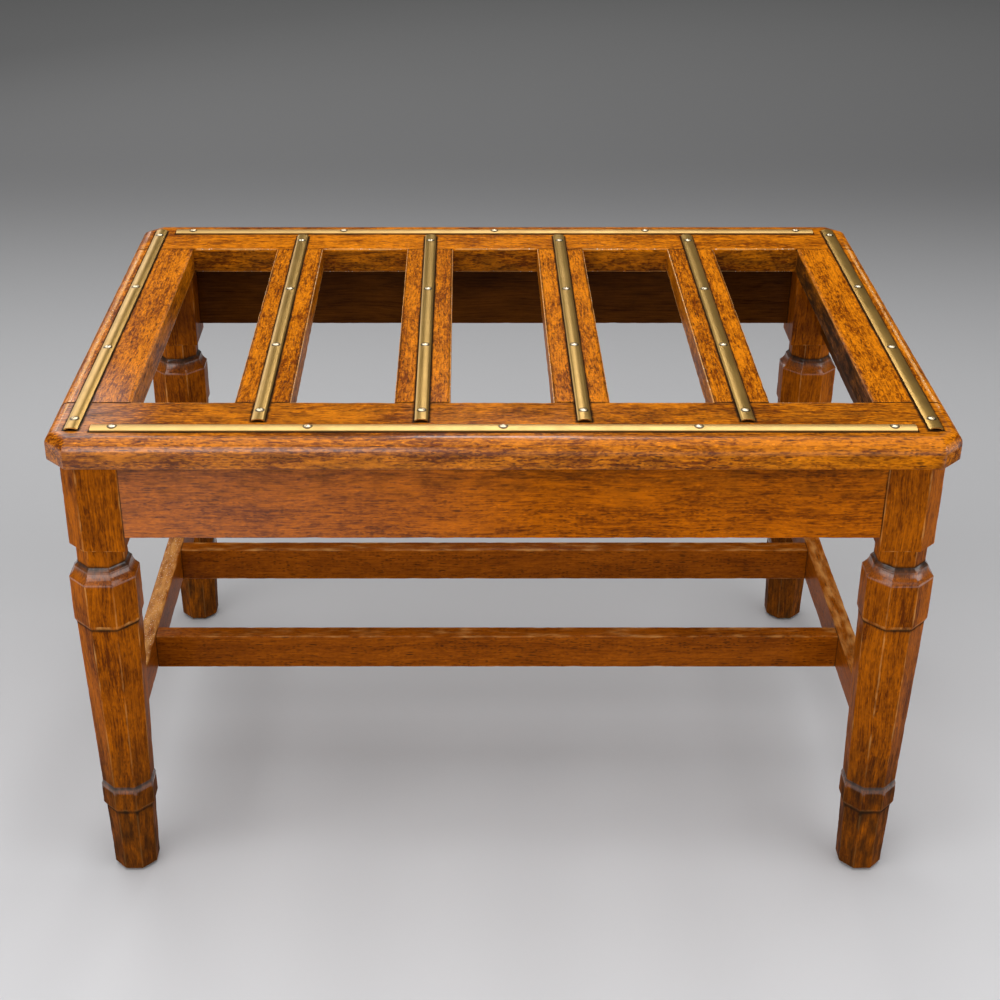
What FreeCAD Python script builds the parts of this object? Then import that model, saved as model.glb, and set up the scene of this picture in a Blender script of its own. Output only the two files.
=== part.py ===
import FreeCAD, Part
import os
import Sketcher
from FreeCAD import Placement, Rotation, Vector

# Luggage rack in oak: a slatted top on a low frame with four octagonal legs, brass strips on top
# Origin on the floor under the middle of the rack, X along its length, Y to the back, Z up, millimetres

# Driving dimensions in millimetres, one cell of the sheet each
SIZES = (
    # Top frame
    ("top_length", 742.0),
    ("top_depth", 520.0),
    ("top_height", 459.0),
    ("frame_thickness", 25.0),
    ("long_rail_width", 75.0),
    ("end_rail_width", 61.0),
    ("corner_cant", 17.5),
    ("edge_round", 10.0),
    ("under_round", 2.0),
    ("slat_width", 46.8),
    ("slat_thickness", 22.0),
    # Joints of the top frame
    ("frame_tenon_length", 28.0),
    ("frame_tenon_thickness", 8.0),
    ("slat_tenon_shoulder", 6.0),
    ("end_tenon_inner_shoulder", 8.0),
    ("end_tenon_outer_shoulder", 20.0),
    # Fits in wood
    ("shoulder_gap", 0.15),
    ("mortise_clearance", 0.15),
    ("mortise_end_gap", 1.5),
    ("overrun", 5.0),
    # Legs, widths across the flats
    ("block_size", 50.0),
    ("block_length", 86.0),
    ("block_cant", 15.0),
    ("block_bevel_rise", 6.5),
    ("neck_width", 40.5),
    ("neck_length", 18.5),
    ("bead_width", 46.0),
    ("bead_rise", 3.0),
    ("bead_quirk", 1.0),
    ("cup_width", 56.5),
    ("cup_cove_rise", 8.5),
    ("cup_cove_depth", 0.9),
    ("cup_length", 42.0),
    ("cup_under_bevel", 4.0),
    ("shaft_top_width", 53.0),
    ("shaft_foot_width", 44.2),
    ("ring_width", 46.6),
    ("ring_length", 28.0),
    ("ring_top_bevel", 3.0),
    ("ring_under_bevel", 4.5),
    ("foot_top_width", 42.0),
    ("foot_bottom_width", 38.7),
    ("foot_length", 70.0),
    ("foot_chamfer", 3.5),
    ("end_overhang", 6.0),
    ("side_overhang", 17.0),
    # Aprons
    ("apron_height", 73.0),
    ("apron_thickness", 19.0),
    ("apron_setback", 1.0),
    ("apron_tenon_length", 24.0),
    ("apron_tenon_thickness", 8.0),
    ("apron_tenon_haunch", 12.0),
    ("apron_tenon_shoulder", 8.0),
    # Stretchers
    ("stretcher_floor_gap", 130.5),
    ("stretcher_height", 35.5),
    ("stretcher_thickness", 16.5),
    ("stretcher_inset", 2.0),
    ("long_stretcher_spacing", 166.0),
    ("stretcher_tenon_length", 18.0),
    ("stretcher_tenon_thickness", 7.0),
    ("stretcher_tenon_shoulder", 5.0),
    ("long_stretcher_tenon_length", 12.0),
    # Dowels that hold the top frame on the aprons
    ("dowel_diameter", 9.0),
    ("dowel_length", 30.0),
    ("dowel_end_gap", 1.0),
    ("dowel_clearance", 0.1),
    # Brass strips
    ("strip_width", 11.1),
    ("strip_height", 2.6),
    ("strip_edge", 1.3),
    ("strip_wall", 0.9),
    ("reed_depth", 0.25),
    ("end_strip_inset", 21.4),
    ("end_strip_end_inset", 22.0),
    ("long_strip_inset", 25.0),
    ("long_strip_corner_gap", 10.05),
    ("slat_strip_gap", 7.45),
    # Screws
    ("screw_end_margin", 17.5),
    ("screw_head_diameter", 6.4),
    ("screw_head_rise", 1.0),
    ("screw_shank_diameter", 3.0),
    ("screw_length", 16.0),
    ("screw_slot_width", 0.9),
    ("screw_slot_depth", 0.7),
    ("screw_clearance", 0.15),
)

# Counts
SLAT_COUNT = 4
LEG_SIDE_COUNT = 8
SLAT_STRIP_SCREW_COUNT = 4
END_STRIP_SCREW_COUNT = 4
LONG_STRIP_SCREW_COUNT = 5
LONG_APRON_DOWEL_COUNT = 4
END_APRON_DOWEL_COUNT = 3
FULL_TURN_DEGREES = 360
QUARTER_TURN_DEGREES = 90
SAME_PLACE = 1e-4


class Size:
    """A length in millimetres together with the sheet expression that gives it."""

    def __init__(self, number, text):
        self.number = number
        self.text = text

    def __add__(self, other):
        return Size(self.number + number_of(other), f"({self.text} + {text_of(other)})")

    def __sub__(self, other):
        return Size(self.number - number_of(other), f"({self.text} - {text_of(other)})")

    def __mul__(self, other):
        return Size(self.number * number_of(other), f"({self.text} * {text_of(other)})")

    def __truediv__(self, other):
        return Size(self.number / number_of(other), f"({self.text} / {text_of(other)})")

    def __neg__(self):
        return Size(-self.number, f"(-1 * {self.text})")


def number_of(value):
    return value.number if isinstance(value, Size) else value


def text_of(value):
    return value.text if isinstance(value, Size) else repr(value)


def make_sheet(doc):
    """Puts every driving dimension in its own named cell."""
    sheet = doc.addObject("Spreadsheet::Sheet", "Sizes")
    sizes = {}
    for row, (alias, number) in enumerate(SIZES, start=1):
        sheet.set(f"A{row}", alias)
        sheet.set(f"B{row}", str(number))
        sheet.setAlias(f"B{row}", alias)
        sizes[alias] = Size(number, f"Sizes.{alias}")
    doc.recompute()
    return sizes


doc = FreeCAD.newDocument("luggage_rack")
size = make_sheet(doc)
NOUGHT = Size(0.0, "0")

# Lines that several pieces share
half_length = size["top_length"] / 2
half_depth = size["top_depth"] / 2
underside = size["top_height"] - size["frame_thickness"]
slat_underside = size["top_height"] - size["slat_thickness"]
opening_x = half_length - size["end_rail_width"]
opening_y = half_depth - size["long_rail_width"]
slat_gap = (opening_x * 2 - size["slat_width"] * SLAT_COUNT) / (SLAT_COUNT + 1)
leg_x = half_length - size["end_overhang"] - size["block_size"] / 2
leg_y = half_depth - size["side_overhang"] - size["block_size"] / 2
apron_bottom = underside - size["apron_height"]
apron_offset = size["block_size"] / 2 - size["apron_setback"] - size["apron_thickness"] / 2
apron_x = leg_x + apron_offset
apron_y = leg_y + apron_offset
mortise_thickness = size["frame_tenon_thickness"] + size["mortise_clearance"] * 2
frame_tenon_middle = size["top_height"] - size["slat_thickness"] / 2

# Heights of the leg's mouldings, from the floor up
ring_bottom = size["foot_length"]
ring_top = ring_bottom + size["ring_length"]
block_bottom = underside - size["block_length"]
bead_top = block_bottom - size["neck_length"]
quirk_top = bead_top - size["bead_rise"]
cove_top = quirk_top - size["bead_quirk"]
cup_top = cove_top - size["cup_cove_rise"]
cup_bottom = cup_top - size["cup_length"]
shaft_top = cup_bottom - size["cup_under_bevel"]

# Stretchers
stretcher_x = leg_x - size["stretcher_inset"]
stretcher_y = size["long_stretcher_spacing"] / 2
stretcher_bottom = size["stretcher_floor_gap"]
stretcher_top = stretcher_bottom + size["stretcher_height"]
shaft_taper = (size["shaft_top_width"] - size["shaft_foot_width"]) / 2 / (shaft_top - ring_top)

# Middle lines and lengths of the brass strips
end_strip_x = half_length - size["end_strip_inset"]
long_strip_y = half_depth - size["long_strip_inset"]
end_strip_length = (half_depth - size["end_strip_end_inset"]) * 2
long_strip_reach = end_strip_x - size["strip_width"] / 2 - size["long_strip_corner_gap"]
long_strip_length = long_strip_reach * 2
slat_strip_length = (long_strip_y - size["strip_width"] / 2 - size["slat_strip_gap"]) * 2


def shaft_half_width(height):
    """Half the width across the flats of the tapering shaft at a height above the floor."""
    return size["shaft_foot_width"] / 2 + (height - ring_top) * shaft_taper


def slat_x(index):
    """Middle line of a slat, the gaps between slats and end rails being equal."""
    pitch = size["slat_width"] + slat_gap
    return pitch * (index - (SLAT_COUNT - 1) / 2)


def row_places(reach, count):
    """Evenly spaced places from minus reach to plus reach."""
    return [reach * (2 * index / (count - 1) - 1) for index in range(count)]


def dowel_places(length, count):
    """Middles of equal parts of a length, measured from its middle."""
    return [length / count * (index - (count - 1) / 2) for index in range(count)]


def screw_reach(strip_length):
    return strip_length / 2 - size["screw_end_margin"]


# Helpers for bodies, sketches and features

def bind(thing, target, value):
    thing.setExpression(target, text_of(value))


def new_body(label, x=NOUGHT, y=NOUGHT, z=NOUGHT, turn=0):
    body = doc.addObject("PartDesign::Body", label)
    body.Label = label
    body.Placement = Placement(Vector(), Rotation(Vector(0, 0, 1), turn))
    for axis, value in (("x", x), ("y", y), ("z", z)):
        bind(body, f"Placement.Base.{axis}", value)
    return body


def origin_feature(body, role):
    return next(item for item in body.Origin.OriginFeatures if item.Role == role)


def new_sketch(body, role, name, offset=NOUGHT):
    """Sketch on one of the body's own origin planes, moved along that plane's normal."""
    sketch = body.newObject("Sketcher::SketchObject", name)
    sketch.AttachmentSupport = [(origin_feature(body, role), "")]
    sketch.MapMode = "FlatFace"
    bind(sketch, "AttachmentOffset.Base.z", offset)
    return sketch


def fix_coordinate(sketch, kind, edge, end, value):
    if text_of(value) == "0":
        axis_edge = -2 if kind == "DistanceX" else -1
        sketch.addConstraint(Sketcher.Constraint("PointOnObject", edge, end, axis_edge))
        return
    index = sketch.addConstraint(Sketcher.Constraint(kind, -1, 1, edge, end, value.number))
    bind(sketch, f"Constraints[{index}]", value)


def point_of(corner):
    return Vector(corner[0].number, corner[1].number, 0)


def bulged_arc(start, finish, bulge):
    """Arc from start to finish that stands to the right of the way by the bulge."""
    chord = finish - start
    side = Vector(chord.y, -chord.x, 0).normalize()
    middle = (start + finish) * 0.5 + side * bulge
    return Part.Arc(start, middle, finish)


def arc_radius(start, finish, bulge):
    """Radius of an arc from its chord's two ends and its rise."""
    across = finish[0] - start[0]
    up = finish[1] - start[1]
    quarter = (across * across + up * up) / 4
    return (quarter + bulge * bulge) / (bulge * 2)


def closed_outline(sketch, corners, bulges=None):
    """Closed outline through the corners; bulges gives the rise of the edge that leaves a corner."""
    bulges = bulges or {}
    first = sketch.GeometryCount
    count = len(corners)
    for index, corner in enumerate(corners):
        start = point_of(corner)
        finish = point_of(corners[(index + 1) % count])
        if index in bulges:
            edge = bulged_arc(start, finish, bulges[index].number)
        else:
            edge = Part.LineSegment(start, finish)
        sketch.addGeometry(edge, False)
    start_ends = [edge_end(sketch, first + index, corners[index]) for index in range(count)]
    for index, corner in enumerate(corners):
        edge = first + index
        previous = first + (index - 1) % count
        leaving = start_ends[(index - 1) % count]
        joined = Sketcher.Constraint("Coincident", previous, 3 - leaving, edge, start_ends[index])
        sketch.addConstraint(joined)
        fix_coordinate(sketch, "DistanceX", edge, start_ends[index], corner[0])
        fix_coordinate(sketch, "DistanceY", edge, start_ends[index], corner[1])
        if index in bulges:
            finish = corners[(index + 1) % count]
            rise = -bulges[index] if bulges[index].number < 0 else bulges[index]
            radius = arc_radius(corner, finish, rise)
            held = sketch.addConstraint(Sketcher.Constraint("Radius", edge, radius.number))
            bind(sketch, f"Constraints[{held}]", radius)


def edge_end(sketch, edge, corner):
    """Which end of an edge lies at the corner: 1 for its start, 2 for its finish."""
    return 1 if (sketch.getPoint(edge, 1) - point_of(corner)).Length < SAME_PLACE else 2


def rectangle(sketch, left, right, bottom, top):
    closed_outline(sketch, [(left, bottom), (right, bottom), (right, top), (left, top)])


def circle(sketch, x, y, diameter):
    edge = sketch.addGeometry(Part.Circle(Vector(x.number, y.number, 0), Vector(0, 0, 1),
                                          diameter.number / 2), False)
    fix_coordinate(sketch, "DistanceX", edge, 3, x)
    fix_coordinate(sketch, "DistanceY", edge, 3, y)
    held = sketch.addConstraint(Sketcher.Constraint("Diameter", edge, diameter.number))
    bind(sketch, f"Constraints[{held}]", diameter)


def finish_feature(body, feature, sketch, length, midplane, backwards):
    feature.Profile = sketch
    feature.Midplane = midplane
    feature.Reversed = backwards
    feature.Length = length.number
    bind(feature, "Length", length)
    body.Tip = feature
    return feature


def pad(body, sketch, length, midplane=False, backwards=False):
    feature = body.newObject("PartDesign::Pad", sketch.Name + "Pad")
    return finish_feature(body, feature, sketch, length, midplane, backwards)


def pocket(body, sketch, length, midplane=False, backwards=False):
    feature = body.newObject("PartDesign::Pocket", sketch.Name + "Pocket")
    return finish_feature(body, feature, sketch, length, midplane, backwards)


def along_row(body, feature, length, count, role="X_Axis"):
    """Repeats a feature evenly along an axis over a length."""
    pattern = body.newObject("PartDesign::LinearPattern", feature.Name + "Row")
    pattern.Originals = [feature]
    pattern.Direction = (origin_feature(body, role), [""])
    pattern.Length = length.number
    pattern.Occurrences = count
    bind(pattern, "Length", length)
    body.Tip = pattern
    return pattern


def edges_where(shape, wanted):
    """Names of the edges whose two ends both pass a test."""
    names = []
    for index, edge in enumerate(shape.Edges, start=1):
        if all(wanted(vertex.Point) for vertex in edge.Vertexes):
            names.append(f"Edge{index}")
    return names


def soften(body, base, names, radius, suffix):
    """Rounds the named edges of a feature."""
    rounding = body.newObject("PartDesign::Fillet", base.Name + suffix)
    rounding.Base = (base, names)
    rounding.Radius = radius.number
    bind(rounding, "Radius", radius)
    body.Tip = rounding
    return rounding


def mirrored(source, label, normal):
    """The same piece on the other side of the rack."""
    twin = doc.addObject("Part::Mirroring", label)
    twin.Label = label
    twin.Source = source
    twin.Normal = normal
    twin.Base = Vector()
    return twin


ACROSS = Vector(1, 0, 0)
FRONT_TO_BACK = Vector(0, 1, 0)


# Pieces of the top frame

def near(value, number):
    return abs(value - number) < SAME_PLACE


def pilot_circles(sketch, places):
    diameter = size["screw_shank_diameter"] + size["screw_clearance"] * 2
    for x, y in places:
        circle(sketch, x, y, diameter)


def pilot_holes(body, places, top):
    """Blind holes for the screws, from the wood's top down."""
    sketch = new_sketch(body, "XY_Plane", body.Name + "Pilots", top)
    pilot_circles(sketch, places)
    depth = size["screw_length"] - size["strip_height"] + size["screw_clearance"]
    return pocket(body, sketch, depth)


def dowel_holes(body, places, level, downwards):
    """Blind holes for the dowels, up into the frame or down into an apron."""
    sketch = new_sketch(body, "XY_Plane", body.Name + "Dowels", level)
    diameter = size["dowel_diameter"] + size["dowel_clearance"] * 2
    for x, y in places:
        circle(sketch, x, y, diameter)
    depth = size["dowel_length"] / 2 + size["dowel_end_gap"]
    return pocket(body, sketch, depth, backwards=not downwards)


def make_long_rail(label):
    """Rear rail of the top, full length, with canted and rounded outer corners."""
    body = new_body(label, z=underside)
    plan = new_sketch(body, "XY_Plane", label + "Plan")
    cant = size["corner_cant"]
    closed_outline(plan, [
        (-half_length, opening_y), (half_length, opening_y),
        (half_length, half_depth - cant), (half_length - cant, half_depth),
        (cant - half_length, half_depth), (-half_length, half_depth - cant)])
    board = pad(body, plan, size["frame_thickness"])
    doc.recompute()
    thickness = size["frame_thickness"].number
    reach = half_length.number
    back = half_depth.number
    canted = size["corner_cant"].number

    def on_outside(point):
        on_end = near(abs(point.x), reach)
        return on_end or (near(point.y, back) and abs(point.x) <= reach - canted + SAME_PLACE)

    def upper(point):
        return near(point.z, thickness) and on_outside(point)

    def lower(point):
        return near(point.z, 0) and on_outside(point)

    rounded = soften(body, board, edges_where(board.Shape, upper), size["edge_round"], "Round")
    doc.recompute()
    names = edges_where(rounded.Shape, lower)
    soften(body, rounded, names, size["under_round"], "Under")
    mortises = new_sketch(body, "XY_Plane", label + "Mortises",
                          frame_tenon_middle - underside)
    clear = size["mortise_clearance"]
    end = opening_y + size["frame_tenon_length"] + size["mortise_end_gap"]
    for index in range(SLAT_COUNT):
        half = size["slat_width"] / 2 - size["slat_tenon_shoulder"] + clear
        rectangle(mortises, slat_x(index) - half, slat_x(index) + half,
                  opening_y - size["overrun"], end)
    inner = opening_x + size["end_tenon_inner_shoulder"] - clear
    outer = half_length - size["end_tenon_outer_shoulder"] + clear
    rectangle(mortises, inner, outer, opening_y - size["overrun"], end)
    rectangle(mortises, -outer, -inner, opening_y - size["overrun"], end)
    pocket(body, mortises, mortise_thickness, midplane=True)
    places = [(x, long_strip_y) for x in row_places(screw_reach(long_strip_length),
                                                    LONG_STRIP_SCREW_COUNT)]
    places += [(slat_x(index), screw_reach(slat_strip_length)) for index in range(SLAT_COUNT)]
    end_screw = screw_reach(end_strip_length)
    places += [(end_strip_x, end_screw), (-end_strip_x, end_screw)]
    pilot_holes(body, places, size["frame_thickness"])
    length = (leg_x - size["block_size"] / 2) * 2
    dowel_holes(body, [(x, apron_y) for x in dowel_places(length, LONG_APRON_DOWEL_COUNT)],
                NOUGHT, downwards=False)
    return body


def make_end_rail(label):
    """Right end rail of the top, tenoned between the long rails."""
    body = new_body(label, z=underside)
    section = new_sketch(body, "XZ_Plane", label + "Section")
    thickness = size["frame_thickness"]
    rectangle(section, opening_x, half_length, NOUGHT, thickness)
    shoulder = opening_y - size["shoulder_gap"]
    board = pad(body, section, shoulder * 2, midplane=True)
    doc.recompute()
    reach = half_length.number
    height = thickness.number
    upper = edges_where(board.Shape, lambda p: near(p.x, reach) and near(p.z, height))
    rounded = soften(body, board, upper, size["edge_round"], "Round")
    doc.recompute()
    lower = edges_where(rounded.Shape, lambda p: near(p.x, reach) and near(p.z, 0))
    soften(body, rounded, lower, size["under_round"], "Under")
    tenons = new_sketch(body, "XY_Plane", label + "Tenons", frame_tenon_middle - underside)
    rectangle(tenons, opening_x + size["end_tenon_inner_shoulder"],
              half_length - size["end_tenon_outer_shoulder"],
              -(opening_y + size["frame_tenon_length"]),
              opening_y + size["frame_tenon_length"])
    pad(body, tenons, size["frame_tenon_thickness"], midplane=True)
    inner_screws = row_places(screw_reach(end_strip_length), END_STRIP_SCREW_COUNT)[1:-1]
    pilot_holes(body, [(end_strip_x, y) for y in inner_screws], thickness)
    length = (leg_y - size["block_size"] / 2) * 2
    dowel_holes(body, [(apron_x, y) for y in dowel_places(length, END_APRON_DOWEL_COUNT)],
                NOUGHT, downwards=False)
    return body


def make_slat(label, index):
    """Slat of the top, tenoned between the long rails, its screws going through the tenons too."""
    body = new_body(label, x=slat_x(index), z=slat_underside)
    plan = new_sketch(body, "XY_Plane", label + "Plan")
    half = size["slat_width"] / 2
    shoulder = opening_y - size["shoulder_gap"]
    rectangle(plan, -half, half, -shoulder, shoulder)
    pad(body, plan, size["slat_thickness"])
    tenons = new_sketch(body, "XY_Plane", label + "Tenons", frame_tenon_middle - slat_underside)
    half_tenon = half - size["slat_tenon_shoulder"]
    reach = opening_y + size["frame_tenon_length"]
    rectangle(tenons, -half_tenon, half_tenon, -reach, reach)
    pad(body, tenons, size["frame_tenon_thickness"], midplane=True)
    screws = row_places(screw_reach(slat_strip_length), SLAT_STRIP_SCREW_COUNT)
    pilot_holes(body, [(NOUGHT, y) for y in screws], size["slat_thickness"])
    return body


# Legs

def leg_profile_corners():
    """Waste outside the leg's moulded profile, as half widths and heights."""
    def half(name):
        return size[name] / 2

    reach = size["cup_width"]
    chamfer = size["foot_chamfer"]
    ring_low = ring_bottom + size["ring_under_bevel"]
    ring_high = ring_top - size["ring_top_bevel"]
    return [
        (reach, -size["overrun"]), (half("foot_bottom_width") - chamfer, -size["overrun"]),
        (half("foot_bottom_width") - chamfer, NOUGHT), (half("foot_bottom_width"), chamfer),
        (half("foot_top_width"), ring_bottom), (half("ring_width"), ring_low),
        (half("ring_width"), ring_high), (half("shaft_foot_width"), ring_top),
        (half("shaft_top_width"), shaft_top), (half("cup_width"), cup_bottom),
        (half("cup_width"), cup_top), (half("bead_width"), cove_top),
        (half("bead_width"), quirk_top), (half("neck_width"), bead_top),
        (half("neck_width"), block_bottom), (reach, block_bottom)]


COVE_CORNER_INDEX = 10


def make_leg(label):
    """Front left leg: square block over an octagonal moulded and tapering shaft."""
    body = new_body(label, x=-leg_x, y=-leg_y)
    half = size["block_size"] / 2
    cant = size["block_cant"]
    block = new_sketch(body, "XY_Plane", label + "Block", block_bottom)
    closed_outline(block, [(cant - half, -half), (half, -half), (half, half),
                           (-half, half), (-half, cant - half)])
    block_pad = pad(body, block, size["block_length"])
    doc.recompute()
    bevel_block(body, block_pad)
    stock = new_sketch(body, "XY_Plane", label + "Stock")
    stock_half = size["cup_width"] / 2 + size["overrun"]
    rectangle(stock, -stock_half, stock_half, -stock_half, stock_half)
    pad(body, stock, block_bottom)
    waste = new_sketch(body, "XZ_Plane", label + "Waste")
    closed_outline(waste, leg_profile_corners(), {COVE_CORNER_INDEX: -size["cup_cove_depth"]})
    side = pocket(body, waste, size["cup_width"] * 4, midplane=True)
    sides = body.newObject("PartDesign::PolarPattern", label + "Sides")
    sides.Originals = [side]
    sides.Axis = (origin_feature(body, "Z_Axis"), [""])
    sides.Angle = FULL_TURN_DEGREES
    sides.Occurrences = LEG_SIDE_COUNT
    body.Tip = sides
    cut_leg_mortises(body, label)
    return body


def bevel_block(body, block_pad):
    """Bevels the bottom edges of the leg's block down to the neck."""
    level = block_bottom.number
    names = edges_where(block_pad.Shape, lambda p: near(p.z, level))
    bevel = body.newObject("PartDesign::Chamfer", block_pad.Name + "Bevel")
    bevel.Base = (block_pad, names)
    bevel.ChamferType = "Two distances"
    bevel.FlipDirection = True
    run = (size["block_size"] - size["neck_width"]) / 2
    bind(bevel, "Size", size["block_bevel_rise"])
    bind(bevel, "Size2", run)
    body.Tip = bevel


def cut_leg_mortises(body, label):
    """Mortises for two aprons and the side stretcher."""
    half = size["block_size"] / 2
    clear = size["mortise_clearance"]
    bottom = apron_bottom + size["apron_tenon_shoulder"] - clear
    top = underside - size["apron_tenon_haunch"] + clear
    depth_left = half - size["apron_tenon_length"] - size["mortise_end_gap"]
    width = size["apron_tenon_thickness"] + clear * 2
    long_side = new_sketch(body, "XZ_Plane", label + "LongMortise", apron_offset)
    rectangle(long_side, depth_left, half + size["overrun"], bottom, top)
    pocket(body, long_side, width, midplane=True)
    end_side = new_sketch(body, "YZ_Plane", label + "EndMortise", -apron_offset)
    rectangle(end_side, depth_left, half + size["overrun"], bottom, top)
    pocket(body, end_side, width, midplane=True)
    lower = stretcher_bottom + size["stretcher_tenon_shoulder"] - clear
    upper = stretcher_top - size["stretcher_tenon_shoulder"] + clear
    foot = shaft_half_width(stretcher_bottom)
    blind = foot - size["stretcher_tenon_length"] - size["mortise_end_gap"]
    stretcher = new_sketch(body, "YZ_Plane", label + "StretcherMortise", size["stretcher_inset"])
    rectangle(stretcher, blind, foot + size["overrun"], lower, upper)
    pocket(body, stretcher, size["stretcher_tenon_thickness"] + clear * 2, midplane=True)


# Aprons

def make_apron(label, half_span, place, places, turn):
    """Apron between two leg blocks, built along X and turned into place."""
    body = new_body(label, x=place[0], y=place[1], z=apron_bottom, turn=turn)
    shoulder = half_span - size["shoulder_gap"]
    face = new_sketch(body, "XZ_Plane", label + "Face")
    rectangle(face, -shoulder, shoulder, NOUGHT, size["apron_height"])
    pad(body, face, size["apron_thickness"], midplane=True)
    tenons = new_sketch(body, "XZ_Plane", label + "Tenons")
    reach = half_span + size["apron_tenon_length"]
    rectangle(tenons, -reach, reach, size["apron_tenon_shoulder"],
              size["apron_height"] - size["apron_tenon_haunch"])
    pad(body, tenons, size["apron_tenon_thickness"], midplane=True)
    dowel_holes(body, [(x, NOUGHT) for x in places], size["apron_height"], downwards=True)
    return body


# Stretchers

def make_side_stretcher(label):
    """Stretcher from front leg to rear leg, its shoulders cut to the legs' taper."""
    body = new_body(label, x=-stretcher_x)
    gap = size["shoulder_gap"]
    low = leg_y - shaft_half_width(stretcher_bottom) - gap
    high = leg_y - shaft_half_width(stretcher_top) - gap
    face = new_sketch(body, "YZ_Plane", label + "Face")
    closed_outline(face, [(-low, stretcher_bottom), (low, stretcher_bottom),
                          (high, stretcher_top), (-high, stretcher_top)])
    pad(body, face, size["stretcher_thickness"], midplane=True)
    tenons = new_sketch(body, "YZ_Plane", label + "Tenons")
    reach = leg_y - shaft_half_width(stretcher_bottom) + size["stretcher_tenon_length"]
    lower = stretcher_bottom + size["stretcher_tenon_shoulder"]
    upper = stretcher_top - size["stretcher_tenon_shoulder"]
    rectangle(tenons, -reach, reach, lower, upper)
    pad(body, tenons, size["stretcher_tenon_thickness"], midplane=True)
    clear = size["mortise_clearance"]
    mortises = new_sketch(body, "XZ_Plane", label + "Mortises", stretcher_y)
    blind = size["stretcher_thickness"] / 2 - size["long_stretcher_tenon_length"]
    rectangle(mortises, blind - size["mortise_end_gap"],
              size["stretcher_thickness"] / 2 + size["overrun"],
              lower - clear, upper + clear)
    width = size["stretcher_tenon_thickness"] + clear * 2
    front = pocket(body, mortises, width, midplane=True)
    along_row(body, front, size["long_stretcher_spacing"], 2, "Y_Axis")
    return body


def make_long_stretcher(label):
    """Front long stretcher, tenoned into the two side stretchers."""
    body = new_body(label, y=-stretcher_y)
    inside = stretcher_x - size["stretcher_thickness"] / 2
    face = new_sketch(body, "XZ_Plane", label + "Face")
    shoulder = inside - size["shoulder_gap"]
    rectangle(face, -shoulder, shoulder, stretcher_bottom, stretcher_top)
    pad(body, face, size["stretcher_thickness"], midplane=True)
    tenons = new_sketch(body, "XZ_Plane", label + "Tenons")
    reach = inside + size["long_stretcher_tenon_length"]
    rectangle(tenons, -reach, reach, stretcher_bottom + size["stretcher_tenon_shoulder"],
              stretcher_top - size["stretcher_tenon_shoulder"])
    pad(body, tenons, size["stretcher_tenon_thickness"], midplane=True)
    return body


# Dowels

def make_dowels(label):
    """Dowels between the aprons and the top frame, half their length in each."""
    length = (leg_x - size["block_size"] / 2) * 2
    depth = (leg_y - size["block_size"] / 2) * 2
    places = []
    for x in dowel_places(length, LONG_APRON_DOWEL_COUNT):
        places += [(x, apron_y), (x, -apron_y)]
    for y in dowel_places(depth, END_APRON_DOWEL_COUNT):
        places += [(apron_x, y), (-apron_x, y)]
    pegs = []
    for index, (x, y) in enumerate(places):
        peg = doc.addObject("Part::Cylinder", f"{label}Peg{index + 1}")
        bind(peg, "Radius", size["dowel_diameter"] / 2)
        bind(peg, "Height", size["dowel_length"])
        bind(peg, "Placement.Base.x", x)
        bind(peg, "Placement.Base.y", y)
        bind(peg, "Placement.Base.z", underside - size["dowel_length"] / 2)
        pegs.append(peg)
    return group(label, pegs)


def group(label, members):
    compound = doc.addObject("Part::Compound", label)
    compound.Label = label
    compound.Links = members
    return compound


# Brass strips

def plain_section(sketch):
    """Hollow half-oval: two low edges with a crown over them."""
    half = size["strip_width"] / 2
    wall = size["strip_wall"]
    rise = size["strip_height"] - size["strip_edge"]
    closed_outline(sketch, [
        (-half, NOUGHT), (wall - half, NOUGHT), (wall - half, size["strip_edge"] / 2),
        (half - wall, size["strip_edge"] / 2), (half - wall, NOUGHT), (half, NOUGHT),
        (half, size["strip_edge"]), (-half, size["strip_edge"])],
        {2: -(size["strip_height"] - wall - size["strip_edge"] / 2), 6: rise})


def reeded_section(sketch):
    """Hollow section whose crown is three reeds with shallow grooves between them."""
    half = size["strip_width"] / 2
    wall = size["strip_wall"]
    edge = size["strip_edge"]
    groove_x = half / 2
    groove_z = size["strip_height"] - size["reed_depth"]
    reed = size["reed_depth"]
    inner_z = groove_z - wall
    closed_outline(sketch, [
        (-half, NOUGHT), (wall - half, NOUGHT), (wall - half, edge / 2),
        (-groove_x, inner_z), (groove_x, inner_z), (half - wall, edge / 2),
        (half - wall, NOUGHT), (half, NOUGHT), (half, edge), (groove_x, groove_z),
        (-groove_x, groove_z), (-half, edge)],
        {3: -reed, 8: reed, 9: reed, 10: reed})


def make_strip(label, section, length, count, place, turn):
    """Brass strip along X, turned into place, with a countersunk hole for each screw."""
    body = new_body(label, x=place[0], y=place[1], z=size["top_height"], turn=turn)
    profile = new_sketch(body, "YZ_Plane", label + "Section")
    section(profile)
    pad(body, profile, length, midplane=True)
    reach = screw_reach(length)
    clear = size["screw_clearance"]
    shank = size["screw_shank_diameter"] / 2 + clear
    head = size["screw_head_diameter"] / 2 + clear
    crown = size["strip_height"]
    sink = new_sketch(body, "XZ_Plane", label + "Sink")
    axis = -reach
    closed_outline(sink, [
        (axis, -size["overrun"]), (axis + shank, -size["overrun"]),
        (axis + shank, crown - head + shank),
        (axis + head + size["overrun"], crown + size["overrun"]),
        (axis, crown + size["overrun"])])
    hole = body.newObject("PartDesign::Groove", label + "Hole")
    hole.Profile = sink
    hole.ReferenceAxis = (sink, ["Edge5"])
    hole.Angle = FULL_TURN_DEGREES
    body.Tip = hole
    along_row(body, hole, reach * 2, count)
    return body


# Screws

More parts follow.
